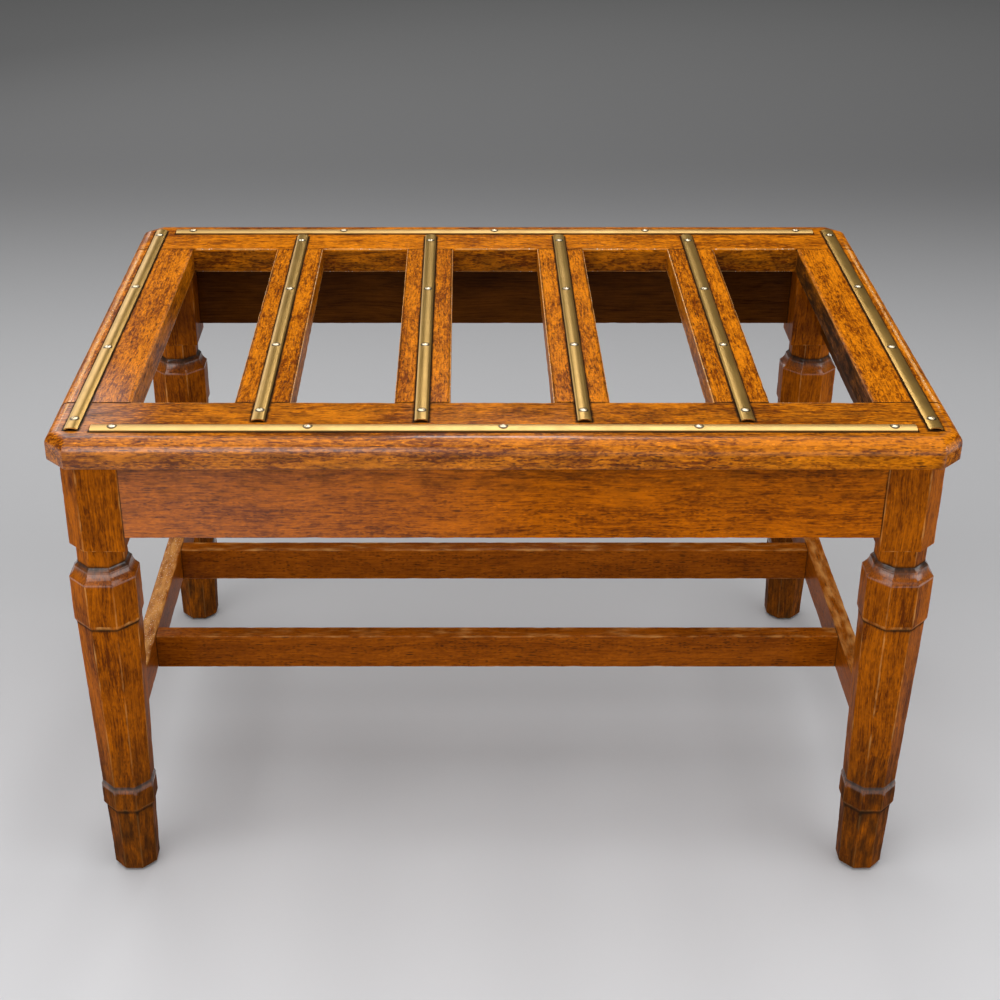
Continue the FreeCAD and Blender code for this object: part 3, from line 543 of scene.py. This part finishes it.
def oak(kind):
    """Polished oak of one kind of piece, with grain, worn edges, and dust and painted shade."""
    name, patches, mottle, pores, polish = OAK_KINDS[kind]
    if name in bpy.data.materials:
        return bpy.data.materials[name]
    wood = bpy.context.scene.rack_wood
    material, tree, shader = new_material(name)
    grain = attribute(tree, "grain").outputs["Vector"]
    figure = add_node(tree, "ShaderNodeGroup", {
        "Grain": grain, "Light": four(getattr(wood, kind + "_light")),
        "Dark": four(getattr(wood, kind + "_dark")), "Pore": four(wood.pores),
        "Patches": patches, "Mottle": mottle, "Pores": pores}, node_tree=oak_grain_group())
    wear = add_node(tree, "ShaderNodeGroup", {
        "Worn": attribute(tree, "worn").outputs["Fac"],
        "Grime and shade": attribute(tree, "grime_and_shade").outputs["Fac"],
        "Place": grain}, node_tree=wear_glints_and_shade_group())
    dirt_and_shade = wear.outputs["Dirt and shade"]
    rubbed = calculate(tree, "MULTIPLY", wear.outputs["Rubbed"], 0.65)
    colour = blend(tree, rubbed, figure.outputs["Color"], four(wood.worn))
    colour = blend(tree, wear.outputs["Specks"], colour, four(wood.specks))
    colour = blend(tree, dirt_and_shade, colour, four(wood.grime_and_shade))
    tree.links.new(colour, shader.inputs["Base Color"])
    dull = calculate(tree, "MULTIPLY_ADD", figure.outputs["Dull"], 0.24, wood.roughness - 0.12)
    dull = calculate(tree, "ADD", dull, calculate(tree, "MULTIPLY", dirt_and_shade, 0.3))
    tree.links.new(dull, shader.inputs["Roughness"])
    bump = add_node(tree, "ShaderNodeBump", {"Height": figure.outputs["Height"],
                                             "Strength": 0.4, "Distance": 0.0003})
    tree.links.new(bump.outputs["Normal"], shader.inputs["Normal"])
    gloss = calculate(tree, "MAXIMUM", attribute(tree, "shine").outputs["Fac"], polish)
    clean = calculate(tree, "MULTIPLY_ADD", dirt_and_shade, -0.8, 1.0)
    gloss = calculate(tree, "MINIMUM", calculate(tree, "MULTIPLY", gloss, clean), 1.0)
    tree.links.new(gloss, shader.inputs["Coat Weight"])
    shader.inputs["Coat Roughness"].default_value = 0.14
    tree.links.new(calculate(tree, "MULTIPLY_ADD", gloss, 0.26, 0.006),
                   shader.inputs["Specular IOR Level"])
    return material


def strip_dust_and_shade_group():
    """Dust and painted shade at the foot of a strip, and as a ring around each screw of an even
    row.
    """
    if "Strip dirt" in bpy.data.node_groups:
        return bpy.data.node_groups["Strip dirt"]
    tree, given, result = new_group(
        "Strip dirt",
        [("Along", "Float"), ("Across", "Float"), ("Height", "Float"), ("Screw", "Float"),
         ("Half spacing", "Float"), ("Centre", "Float"), ("Half centre spacing", "Float")],
        [("Dirt and shade", "Float")])
    squares = []
    for place, start, half in (("Along", "Screw", "Half spacing"),
                               ("Across", "Centre", "Half centre spacing")):
        shifted = calculate(tree, "SUBTRACT", given.outputs[place], given.outputs[start])
        away = calculate(tree, "PINGPONG", shifted, given.outputs[half])
        squares.append(calculate(tree, "MULTIPLY", away, away))
    distance = calculate(tree, "SQRT", calculate(tree, "ADD", *squares))
    # Painted contact shadow with dust at the strip's foot, and painted shade with dust in a ring
    # round each screw.
    foot = calculate(tree, "MULTIPLY", ramp(tree, given.outputs["Height"], *STRIP_FOOT), 0.9)
    dirt_and_shade = calculate(tree, "MAXIMUM", foot, ramp(tree, distance, *SCREW_RING))
    tree.links.new(dirt_and_shade, result.inputs["Dirt and shade"])
    return tree


def old_brass_group():
    """Tarnish, spots, dust and painted shade on brushed brass."""
    if "Old brass" in bpy.data.node_groups:
        return bpy.data.node_groups["Old brass"]
    tree, given, result = new_group(
        "Old brass",
        [("Place", "Vector"), ("Dirt and shade", "Float"), ("Bright", "Color"), ("Dull", "Color"),
         ("Grime and shade", "Color"), ("Roughness", "Float")],
        [("Color", "Color"), ("Roughness", "Float"), ("Metallic", "Float"),
         ("Height", "Float")])
    place = given.outputs["Place"]
    dull = given.outputs["Dull"]
    clouds = stretched(tree, place, (38.0, 38.0, 38.0), detail=4.0, roughness=0.6)
    fine = stretched(tree, place, (900.0, 900.0, 900.0))
    tarnish = ramp(tree, clouds, 0.40, 0.72)
    colour = blend(tree, calculate(tree, "MULTIPLY", tarnish, 0.3), given.outputs["Bright"],
                   dull)
    spots = calculate(tree, "MULTIPLY", ramp(tree, fine, 0.72, 0.8), 0.5)
    colour = blend(tree, spots, colour, dull)
    dirt_and_shade = calculate(tree, "MULTIPLY", given.outputs["Dirt and shade"], 0.85)
    colour = blend(tree, dirt_and_shade, colour, given.outputs["Grime and shade"])
    rough = calculate(tree, "MULTIPLY_ADD", tarnish, 0.05, given.outputs["Roughness"])
    metal = calculate(tree, "MULTIPLY_ADD", tarnish, -0.1, 0.9)
    for value, name in ((colour, "Color"), (rough, "Roughness"), (metal, "Metallic"),
                        (clouds, "Height")):
        tree.links.new(value, result.inputs[name])
    return tree


def brass_finish(tree, shader, place, dirt_and_shade, bright, dull, roughness):
    """Brushed brass with tarnish, dust and painted shade."""
    brass = bpy.context.scene.rack_brass
    finish = add_node(tree, "ShaderNodeGroup", {
        "Place": place, "Dirt and shade": dirt_and_shade, "Bright": four(bright), "Dull": four(dull),
        "Grime and shade": four(brass.grime_and_shade), "Roughness": roughness}, node_tree=old_brass_group())
    tree.links.new(finish.outputs["Color"], shader.inputs["Base Color"])
    tree.links.new(finish.outputs["Roughness"], shader.inputs["Roughness"])
    tree.links.new(finish.outputs["Metallic"], shader.inputs["Metallic"])
    bump = add_node(tree, "ShaderNodeBump", {"Height": finish.outputs["Height"],
                                             "Strength": 0.05, "Distance": 0.0006})
    tree.links.new(bump.outputs["Normal"], shader.inputs["Normal"])


def strip_brass(name, bright, along_axis, rows):
    """Brass of the strips, with dust and painted shade at their feet and around their screws."""
    brass = bpy.context.scene.rack_brass
    screw, spacing, centre, centre_spacing = rows
    material, tree, shader = new_material(name)
    place = add_node(tree, "ShaderNodeTexCoord").outputs["Object"]
    split = add_node(tree, "ShaderNodeSeparateXYZ", {"Vector": place})
    sides = (split.outputs["X"], split.outputs["Y"])
    dirt_and_shade = add_node(tree, "ShaderNodeGroup", {
        "Along": sides[along_axis], "Across": sides[1 - along_axis],
        "Height": split.outputs["Z"], "Screw": screw, "Half spacing": spacing / 2,
        "Centre": centre, "Half centre spacing": centre_spacing / 2},
        node_tree=strip_dust_and_shade_group()).outputs["Dirt and shade"]
    roughness = brass.dull_roughness if along_axis == ALONG_X else brass.roughness
    brass_finish(tree, shader, place, dirt_and_shade, bright, brass.tarnish, roughness)
    return material


def screw_brass():
    """Brass of the screws, with painted shade in the slots."""
    brass = bpy.context.scene.rack_brass
    material, tree, shader = new_material("Brass of the screws")
    place = add_node(tree, "ShaderNodeTexCoord").outputs["Object"]
    level = add_node(tree, "ShaderNodeSeparateXYZ", {"Vector": place}).outputs["Z"]
    # Painted shade in the slot.
    dirt_and_shade = ramp(tree, level, *SCREW_SLOT)
    brass_finish(tree, shader, place, dirt_and_shade, brass.screw, brass.strip, brass.roughness)
    return material


def give(node, material):
    """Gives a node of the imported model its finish."""
    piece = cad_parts[node]
    piece.data.materials.clear()
    piece.data.materials.append(material)


def build_long_rail(node, side, seed):
    """A long rail of the top: rounded outside, canted at both ends."""
    sizes = bpy.context.scene.rack_sizes
    low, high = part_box(node)
    outer = low.y if side < 0 else high.y
    inner = high.y if side < 0 else low.y
    block = new_block(low, high)
    middle = (low.z + high.z) / 2
    corners = edges_where(block, lambda p: abs(p.y - outer) < TINY and abs(p.z - middle) < TINY)
    soften(block, corners, sizes.corner_cant, 1)
    finish_top_piece(block, low, high, lambda p: abs(p.y - inner) > TINY)
    slice_along(block, ALONG_X, sizes.slice_step)
    cut_beside_strips(block, low, high)
    cut_at(block, ALONG_Y, inner + side * JOINT_MARGIN)
    # The front rail's top is made darker all over.
    finish_faces(block, high.z, lambda p: abs(p.y - inner) < BELOW_TOP,
                 top_darkening=0.36 if side < 0 else 0.0, dull=0.5)
    darken_joints(block, lambda p: abs(p.y - inner) < JOINT_CUT and in_joint(p.x))
    dent(block, sizes.dent_depth, seed)
    lay_grain(block, ALONG_X, seed)
    hand_over(block, "oak_" + node, node, oak("top"))


CROSS_PIECES = [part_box(node) for node in ("slat_1", "slat_2", "slat_3", "slat_4",
                                          "left_end_rail", "right_end_rail")]


def in_joint(x):
    """Whether a slat or an end rail meets the long rail at this place."""
    return any(low.x < x < high.x for low, high in CROSS_PIECES)


def darken_joints(block, test):
    """Turns worn edges into tight joints where another piece meets them."""
    worn = block.verts.layers.float["worn"]
    grime_and_shade = block.verts.layers.float["grime_and_shade"]
    for vert in block.verts:
        if vert[worn] > 0.0 and test(vert.co):
            vert[worn] = 0.1
            vert[grime_and_shade] = 0.8


def corner_edges(block):
    """Upright edges and mitres where the outside of the top turns."""
    block.normal_update()
    found = []
    for edge in block.edges:
        if abs(edge.verts[0].co.z - edge.verts[1].co.z) < TINY:
            continue
        first, second = (Vector((face.normal.x, face.normal.y)) for face in edge.link_faces)
        if min(first.length, second.length) > 0.35:
            if math.radians(30) < first.angle(second) < math.radians(60):
                found.append(edge)
    return found


def finish_top_piece(block, low, high, is_outer):
    """Rounds the outer edges of a rail and eases its other edges."""
    sizes = bpy.context.scene.rack_sizes
    upper = edges_where(block, lambda p: abs(p.z - high.z) < TINY and is_outer(p))
    soften(block, upper, sizes.edge_round, 8, worn=0.2, shine=1.0)
    under = edges_where(block, lambda p: abs(p.z - low.z) < TINY and is_outer(p))
    soften(block, under, sizes.under_round, 3, worn=0.3)
    inner = [edge for edge in block.edges if edge.calc_face_angle(0.0) > math.radians(60)]
    soften(block, inner, sizes.worn_edge * 0.6, 2, worn=1.1)
    keep_margin(block, sizes.wear_margin)
    for part in (0.25, 0.75, 1.25):
        cut_at(block, ALONG_X, low.x + sizes.corner_cant * part)
        cut_at(block, ALONG_X, high.x - sizes.corner_cant * part)
    # The upright edges at the cants get a lighter worn tone, which is wear and also a painted
    # highlight.
    soften(block, corner_edges(block), sizes.worn_edge, 3, worn=0.5, shine=0.6)
    grime_and_shade = block.verts.layers.float["grime_and_shade"]
    shine = block.verts.layers.float["shine"]
    for vert in block.verts:
        if high.z - sizes.edge_round * 0.35 < vert.co.z < high.z - TINY:
            vert[shine] = min(vert[shine], 0.12 + 0.22 * between(vert.co.x, 0.1, -0.3))
        elif vert.co.z < high.z - sizes.edge_round * 0.9 and is_outer(vert.co):
            # The outer face below the round is made darker.
            vert[grime_and_shade] = max(vert[grime_and_shade], 0.38)
            vert[shine] = max(vert[shine], 0.7 * between(vert.co.x, 0.05, -0.2))


def build_end_rail(node, side, seed):
    """A short rail of the top, between the long rails."""
    sizes = bpy.context.scene.rack_sizes
    low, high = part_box(node)
    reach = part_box("rear_top_rail")[0].y - sizes.shoulder_gap
    low.y, high.y = -reach, reach
    outer = low.x if side < 0 else high.x
    block = new_block(low, high)
    finish_top_piece(block, low, high, lambda p: abs(p.x - outer) < TINY)
    slice_along(block, ALONG_Y, sizes.slice_step)
    cut_beside_strips(block, low, high)
    for place in (JOINT_MARGIN - reach, reach - JOINT_MARGIN):
        cut_at(block, ALONG_Y, place)
    # The right rail's inner face gets more painted shade than the left one's.
    finish_faces(block, high.z, lambda p: abs(p.x - outer) > high.x - low.x - BELOW_TOP,
                 dull=0.75 if side > 0 else 0.34)
    darken_joints(block, lambda p: abs(p.y) > reach - JOINT_CUT)
    dent(block, sizes.dent_depth, seed)
    lay_grain(block, ALONG_Y, seed)
    hand_over(block, "oak_" + node, node, oak("top"))


def build_slat(node, seed):
    """A slat between the long rails, with worn edges."""
    sizes = bpy.context.scene.rack_sizes
    low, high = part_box(node)
    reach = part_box("rear_top_rail")[0].y - sizes.shoulder_gap
    low.y, high.y = -reach, reach
    block = new_block(low, high)
    long_edges = edges_where(block, lambda p: abs(p.y) < TINY)
    soften(block, long_edges, sizes.worn_edge, 3, worn=1.3)
    ends = edges_where(block, lambda p: abs(abs(p.y) - reach) < TINY and p.z > high.z - TINY)
    soften(block, ends, sizes.joint_edge * 0.6, 1, grime_and_shade=0.7)
    keep_margin(block, sizes.wear_margin)
    slice_along(block, ALONG_Y, sizes.slice_step)
    cut_beside_strips(block, low, high)
    finish_faces(block, high.z, lambda p: True)
    dent(block, sizes.dent_depth, seed)
    lay_grain(block, ALONG_Y, seed)
    hand_over(block, "oak_" + node, node, oak("top"))


def build_board(node, low, high, axis, seed, material, worn, inside=None):
    """An apron or stretcher: a board with worn long edges, tight ends and an inside with little
    polish and painted shade.
    """
    sizes = bpy.context.scene.rack_sizes
    block = new_block(low, high)
    middle = (low[axis] + high[axis]) / 2
    long_edges = edges_where(block, lambda p: abs(p[axis] - middle) < TINY)
    soften(block, long_edges, sizes.worn_edge, 3, worn=worn)
    keep_margin(block, sizes.wear_margin)
    slice_along(block, axis, sizes.slice_step)
    for end in (low[axis] + JOINT_CUT, high[axis] - JOINT_CUT):
        cut_at(block, axis, end)
    grime_and_shade = block.verts.layers.float["grime_and_shade"]
    for vert in block.verts:
        if min(vert.co[axis] - low[axis], high[axis] - vert.co[axis]) < TINY:
            vert[grime_and_shade] = 0.9
    dent(block, sizes.dent_depth * 0.8, seed)
    lay_grain(block, axis, seed)
    block.normal_update()
    # Faces turned into the frame get the darker inside oak, as painted shade.
    if inside:
        for face in block.faces:
            face.material_index = 1 if face.normal.dot(Vector(inside)) > 0.9 else 0
    piece = hand_over(block, "oak_" + node, node, material)
    if inside:
        piece.data.materials.append(oak("inside"))
    return piece


def leg_centre(node):
    """Where the axis of a leg stands."""
    low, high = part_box(node)
    return Vector(((low.x + high.x) / 2, (low.y + high.y) / 2, 0.0))


def shape_shaft():
    """The octagonal moulded shaft of a leg, around the origin."""
    sizes = bpy.context.scene.rack_sizes
    half_side = math.pi / LEG_SIDES
    corner = 1 / math.cos(half_side)
    shaft = new_outline([(half * corner, z) for half, z in LEG_PROFILE])
    start = math.cos(half_side), math.sin(half_side)
    for vert in shaft.verts:
        vert.co = Vector((vert.co.x * start[0], vert.co.x * start[1], vert.co.z))
    bmesh.ops.spin(shaft, geom=shaft.verts[:] + shaft.edges[:], cent=(0, 0, 0),
                   axis=(0, 0, 1), angle=math.tau, steps=LEG_SIDES, use_merge=True)
    bmesh.ops.remove_doubles(shaft, verts=shaft.verts, dist=1e-5)
    bmesh.ops.recalc_face_normals(shaft, faces=shaft.faces[:])
    sharp = [edge for edge in shaft.edges if edge.calc_face_angle_signed(0.0) > LEG_ARRIS]
    soften(shaft, sharp, sizes.leg_edge, 2, worn=0.84)
    keep_margin(shaft, sizes.wear_margin * 0.8)
    slice_along(shaft, ALONG_Z, sizes.slice_step)
    grime_and_shade = shaft.verts.layers.float["grime_and_shade"]
    shine = shaft.verts.layers.float["shine"]
    worn = shaft.verts.layers.float["worn"]
    for vert in shaft.verts:
        # Old polish and painted shade in the grooves.
        for level, reach in LEG_POLISH_AND_SHADE:
            far = (vert.co.z - level) / reach
            if -0.02 < far < 1.0:
                vert[grime_and_shade] = max(vert[grime_and_shade], 0.85 * (1.0 - far))
        # Painted shade, darker towards the floor, on the foot.
        vert[grime_and_shade] = max(vert[grime_and_shade], min(0.60, 5.0 * (FOOT_SHADE_BELOW - vert.co.z)))
        if any(low < vert.co.z < high for low, high in LEG_SHINE):
            vert[shine] = 3.0
            vert[worn] = min(vert[worn], 0.6)
    return shaft


def shape_leg_block(side_x, side_y):
    """The square block above the shaft, its outer corner canted."""
    sizes = bpy.context.scene.rack_sizes
    half = sizes.block_half
    block = new_block((-half, -half, sizes.block_bottom), (half, half, sizes.block_top))
    corner = edges_where(
        block, lambda p: p.x * side_x > half - TINY and p.y * side_y > half - TINY)
    soften(block, corner, sizes.block_cant, 1)
    floor = [face for face in block.faces if face.normal.z < -0.9]
    rim = list({vert for face in floor for vert in face.verts})
    bmesh.ops.inset_region(block, faces=floor, thickness=sizes.block_bevel_run,
                           use_even_offset=True)
    bmesh.ops.translate(block, vec=(0, 0, sizes.block_bevel_rise), verts=rim)
    block.normal_update()
    sharp = [edge for edge in block.edges
             if edge.calc_face_angle_signed(0.0) > LEG_ARRIS
             and min(vert.co.z for vert in edge.verts) < sizes.block_top - TINY]
    soften(block, sharp, sizes.worn_edge * 0.7, 2, worn=0.8)
    keep_margin(block, sizes.wear_margin)
    slice_along(block, ALONG_Z, sizes.slice_step)
    return block


def build_leg(node, side_x, side_y, seed):
    """A leg: its block on its moulded shaft."""
    sizes = bpy.context.scene.rack_sizes
    shaft = shape_shaft()
    upper = shape_leg_block(side_x, side_y)
    joined = bpy.data.meshes.new("leg_block")
    upper.to_mesh(joined)
    upper.free()
    shaft.from_mesh(joined)
    bpy.data.meshes.remove(joined)
    bmesh.ops.translate(shaft, vec=leg_centre(node), verts=shaft.verts)
    dent(shaft, sizes.dent_depth * 0.8, seed)
    lay_grain(shaft, ALONG_Z, seed)
    hand_over(shaft, "oak_" + node, node, oak("leg"))


def span_between(node_low, node_high, axis, half):
    """The free span between the blocks of two legs."""
    gap = bpy.context.scene.rack_sizes.shoulder_gap
    return leg_centre(node_low)[axis] + half + gap, leg_centre(node_high)[axis] - half - gap


class RACK_OT_long_rails(bpy.types.Operator):
    """Builds the front and the rear rail of the top"""

    bl_idname = "rack.long_rails"
    bl_label = "Long rails"

    def execute(self, context):
        build_long_rail("front_top_rail", -1, 1.0)
        build_long_rail("rear_top_rail", 1, 2.0)
        return {"FINISHED"}


class RACK_OT_end_rails(bpy.types.Operator):
    """Builds the left and the right rail of the top"""

    bl_idname = "rack.end_rails"
    bl_label = "End rails"

    def execute(self, context):
        build_end_rail("left_end_rail", -1, 3.0)
        build_end_rail("right_end_rail", 1, 4.0)
        return {"FINISHED"}


class RACK_OT_slats(bpy.types.Operator):
    """Builds the four slats"""

    bl_idname = "rack.slats"
    bl_label = "Slats"

    def execute(self, context):
        for index in range(1, 5):
            build_slat(f"slat_{index}", 4.0 + index)
        return {"FINISHED"}


class RACK_OT_legs(bpy.types.Operator):
    """Builds the four moulded legs"""

    bl_idname = "rack.legs"
    bl_label = "Legs"

    def execute(self, context):
        build_leg("front_left_leg", -1, -1, 9.0)
        build_leg("front_right_leg", 1, -1, 10.0)
        build_leg("rear_left_leg", -1, 1, 11.0)
        build_leg("rear_right_leg", 1, 1, 12.0)
        return {"FINISHED"}


def finish_apron(piece, level, front):
    """Painted shadow under the overhang of the top, and a stronger gloss on the left front."""
    grime_and_shade = piece.data.attributes["grime_and_shade"].data
    shine = piece.data.attributes["shine"].data
    for vert in piece.data.vertices:
        if vert.co.y < front:
            shine[vert.index].value = 0.7 * between(vert.co.x, 0.05, -0.25)
        # Painted shadow of the overhang along the top of the apron.
        if vert.co.z > level - 0.004:
            grime_and_shade[vert.index].value = 0.5


class RACK_OT_aprons(bpy.types.Operator):
    """Builds the four aprons"""

    bl_idname = "rack.aprons"
    bl_label = "Aprons"

    def execute(self, context):
        half = context.scene.rack_sizes.block_half
        seed = 13.0
        for node, axis, ends, inside in (
                ("front_apron", ALONG_X, ("front_left_leg", "front_right_leg"), (0, 1, 0)),
                ("rear_apron", ALONG_X, ("rear_left_leg", "rear_right_leg"), (0, -1, 0)),
                ("left_apron", ALONG_Y, ("front_left_leg", "rear_left_leg"), (1, 0, 0)),
                ("right_apron", ALONG_Y, ("front_right_leg", "rear_right_leg"), (-1, 0, 0))):
            low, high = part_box(node)
            low[axis], high[axis] = span_between(*ends, axis, half)
            piece = build_board(node, low, high, axis, seed, oak("apron"), 0.55, inside)
            finish_apron(piece, high.z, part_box("front_apron")[0].y + 0.004)
            seed += 1.0
        return {"FINISHED"}


def wear_top(piece, level, worn):
    """Rubs the upper face of a stretcher, where feet and luggage scrape it."""
    values = piece.data.attributes["worn"].data
    for vert in piece.data.vertices:
        if vert.co.z > level - TINY:
            values[vert.index].value = worn


class RACK_OT_stretchers(bpy.types.Operator):
    """Builds the side stretchers and the long stretchers"""

    bl_idname = "rack.stretchers"
    bl_label = "Stretchers"

    def execute(self, context):
        gap = context.scene.rack_sizes.shoulder_gap
        for node, seed in (("left_side_stretcher", 17.0), ("right_side_stretcher", 18.0)):
            low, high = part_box(node)
            reach = LEG_PLACE_Y - gap
            low.y, high.y = -reach + LEG_HALF_LOW, reach - LEG_HALF_LOW
            piece = build_board(node, low, high, ALONG_Y, seed, oak("stretcher"), 0.85)
            wear_top(piece, high.z, 1.0 if high.x < 0 else 0.85)
            for vert in piece.data.vertices:
                rise = (vert.co.z - low.z) / (high.z - low.z)
                vert.co.y *= 1 - rise * (LEG_HALF_HIGH - LEG_HALF_LOW) / high.y
        for node, seed in (("front_long_stretcher", 19.0), ("rear_long_stretcher", 20.0)):
            low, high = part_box(node)
            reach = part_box("right_side_stretcher")[0].x - gap
            low.x, high.x = -reach, reach
            piece = build_board(node, low, high, ALONG_X, seed, oak("stretcher"), 0.85)
            wear_top(piece, high.z, 0.72)
        return {"FINISHED"}


class RACK_OT_strips(bpy.types.Operator):
    """Gives the brass strips their finish"""

    bl_idname = "rack.strips"
    bl_label = "Brass strips"

    def execute(self, context):
        brass = context.scene.rack_brass
        for name, bright, axis, rows, nodes in (
                ("Brass of the front strip", brass.strip, ALONG_X, LONG_ROWS,
                 ("front_brass_strip",)),
                ("Brass of the rear strip", brass.rear_strip, ALONG_X, LONG_ROWS,
                 ("rear_brass_strip",)),
                ("Brass of the end strips", brass.slat_strip, ALONG_Y, END_ROWS,
                 ("left_brass_strip", "right_brass_strip")),
                ("Brass of the slat strips", brass.slat_strip, ALONG_Y, SLAT_ROWS,
                 ("slat_strip_1", "slat_strip_2", "slat_strip_3", "slat_strip_4"))):
            material = strip_brass(name, bright, axis, rows)
            for node in nodes:
                give(node, material)
        return {"FINISHED"}


class RACK_OT_screws(bpy.types.Operator):
    """Gives the screws their finish"""

    bl_idname = "rack.screws"
    bl_label = "Screws"

    def execute(self, context):
        give("strip_screws", screw_brass())
        return {"FINISHED"}


class RACK_OT_dowels(bpy.types.Operator):
    """Gives the hidden dowels their wood"""

    bl_idname = "rack.dowels"
    bl_label = "Dowels"

    def execute(self, context):
        wood = context.scene.rack_wood
        material, tree, shader = new_material("Wood of the dowels")
        place = add_node(tree, "ShaderNodeTexCoord").outputs["Object"]
        streaks = stretched(tree, place, (900.0, 900.0, 40.0), detail=3.0)
        colour = blend(tree, ramp(tree, streaks, 0.35, 0.65), four(wood.leg_light),
                       four(wood.worn))
        tree.links.new(colour, shader.inputs["Base Color"])
        shader.inputs["Roughness"].default_value = 0.7
        give("top_dowels", material)
        return {"FINISHED"}


def floor_material():
    """Pale studio floor with painted light: it gets darker with its distance as a painted
    fall-off of the light, and in front of the camera as painted shade.
    """
    stage = bpy.context.scene.rack_stage
    material, tree, shader = new_material("Studio floor")
    place = add_node(tree, "ShaderNodeTexCoord").outputs["Object"]
    back = add_node(tree, "ShaderNodeSeparateXYZ", {"Vector": place}).outputs["Y"]
    # The light's fall-off with distance is painted into the floor's colour.
    colour = blend(tree, ramp(tree, back, -0.45, 0.42), four(stage.floor_near),
                   four(stage.floor_behind))
    colour = blend(tree, ramp(tree, back, 0.6, 2.0), colour, four(stage.floor_middle))
    colour = blend(tree, ramp(tree, back, 1.6, 3.9), colour, four(stage.floor_far))
    # Painted shade on the floor in front of the camera.
    colour = blend(tree, ramp(tree, back, -0.9, -1.3), colour, four(stage.floor_front))
    tree.links.new(colour, shader.inputs["Base Color"])
    shader.inputs["Roughness"].default_value = 0.9
    shader.inputs["Specular IOR Level"].default_value = 0.0
    return material


def add_panel(name, place, target, width, height, watts):
    """A soft rectangular light that faces a point."""
    lamp = bpy.data.lights.new(name, "AREA")
    lamp.shape = "RECTANGLE"
    lamp.size = width
    lamp.size_y = height
    lamp.energy = watts
    holder = bpy.data.objects.new(name, lamp)
    holder.location = place
    facing = Vector(target) - Vector(place)
    holder.rotation_euler = facing.to_track_quat("-Z", "Y").to_euler()
    holder.visible_camera = False
    bpy.context.scene.collection.objects.link(holder)


class RACK_OT_stage(bpy.types.Operator):
    """Sets up the floor, the studio light and the camera"""

    bl_idname = "rack.stage"
    bl_label = "Stage"

    def execute(self, context):
        scene = context.scene
        stage = scene.rack_stage
        ground = bmesh.new()
        bmesh.ops.create_grid(ground, x_segments=1, y_segments=1, size=14.0)
        mesh = bpy.data.meshes.new("studio_floor")
        ground.to_mesh(mesh)
        ground.free()
        mesh.materials.append(floor_material())
        floor = bpy.data.objects.new("studio_floor", mesh)
        scene.collection.objects.link(floor)
        middle = (0, 0, 0.4)
        add_panel("top_light", (0.0, 0.1, 2.5), (0.0, 0.1, 0.0), 4.2, 3.4, stage.top_light)
        add_panel("side_light", (-1.3, 2.0, 1.5), middle, 1.1, 1.4, stage.side_light)
        add_panel("back_light", (0.03, 1.6, 1.6), middle, 0.34, 0.5, stage.back_light * 0.4)
        add_panel("high_back_light", (0.30, 1.6, 2.9), middle, 0.4, 1.2, stage.back_light)
        for name, degrees, level, width, watts in (
                ("left_light", -36, 0.78, 4.3, stage.left_light),
                ("high_left_light", -36, 2.25, 4.3, stage.left_light * 0.6),
                ("right_light", 58, 0.78, 3.9, stage.right_light)):
            turn = math.radians(degrees)
            spot = (math.sin(turn) * LIGHT_RADIUS, -math.cos(turn) * LIGHT_RADIUS, level)
            add_panel(name, spot, (0, 0, level), width, LIGHT_HEIGHT, watts)
        scene.world = room_air(stage)
        add_camera(scene)
        scene.view_settings.view_transform = "Standard"
        return {"FINISHED"}


def room_air(stage):
    """Faint light all round, and the grey that the camera sees beyond the floor."""
    world = bpy.data.worlds.new("studio_air")
    world.use_nodes = True
    tree = world.node_tree
    air = tree.nodes["Background"]
    seen = add_node(tree, "ShaderNodeLightPath").outputs["Is Camera Ray"]
    level = four([stage.room] * 3)
    tree.links.new(blend(tree, seen, level, four(stage.backdrop)), air.inputs["Color"])
    return world


def add_camera(scene):
    """The camera at the photograph's viewing angle."""
    lens = bpy.data.cameras.new("photo_camera")
    lens.sensor_width = 36.0
    lens.lens = 61.23
    lens.shift_x = 0.03525
    lens.clip_start = 0.05
    lens.clip_end = 60.0
    camera = bpy.data.objects.new("photo_camera", lens)
    camera.location = (-0.03121, -1.4723, 1.0636)
    camera.rotation_euler = (math.radians(90 - 28.44), 0.0, 0.0)
    scene.collection.objects.link(camera)
    scene.camera = camera


STEPS = ("long_rails", "end_rails", "slats", "legs", "aprons", "stretchers", "strips",
         "screws", "dowels", "stage")


class RACK_PT_panel(bpy.types.Panel):
    """Buttons and values of the luggage rack"""

    bl_label = "Luggage rack"
    bl_idname = "RACK_PT_panel"
    bl_space_type = "VIEW_3D"
    bl_region_type = "UI"
    bl_category = "Luggage rack"

    def draw(self, context):
        for step in STEPS:
            self.layout.operator("rack." + step)
        for group in ("rack_sizes", "rack_wood", "rack_brass", "rack_stage"):
            values = getattr(context.scene, group)
            box = self.layout.box()
            for name in values.__annotations__:
                box.prop(values, name)


CLASSES = (RackSizes, RackWood, RackBrass, RackStage, RACK_OT_long_rails, RACK_OT_end_rails,
           RACK_OT_slats, RACK_OT_legs, RACK_OT_aprons, RACK_OT_stretchers, RACK_OT_strips,
           RACK_OT_screws, RACK_OT_dowels, RACK_OT_stage, RACK_PT_panel)


def register():
    """Registers the classes and the values on the scene."""
    for made in CLASSES:
        bpy.utils.register_class(made)
    bpy.types.Scene.rack_sizes = PointerProperty(type=RackSizes)
    bpy.types.Scene.rack_wood = PointerProperty(type=RackWood)
    bpy.types.Scene.rack_brass = PointerProperty(type=RackBrass)
    bpy.types.Scene.rack_stage = PointerProperty(type=RackStage)


def unregister():
    """Removes the values and the classes again."""
    for name in ("rack_stage", "rack_brass", "rack_wood", "rack_sizes"):
        delattr(bpy.types.Scene, name)
    for made in reversed(CLASSES):
        bpy.utils.unregister_class(made)


def main():
    """Builds the whole rack."""
    register()
    for step in STEPS:
        getattr(bpy.ops.rack, step)()


if __name__ == "__main__":
    main()
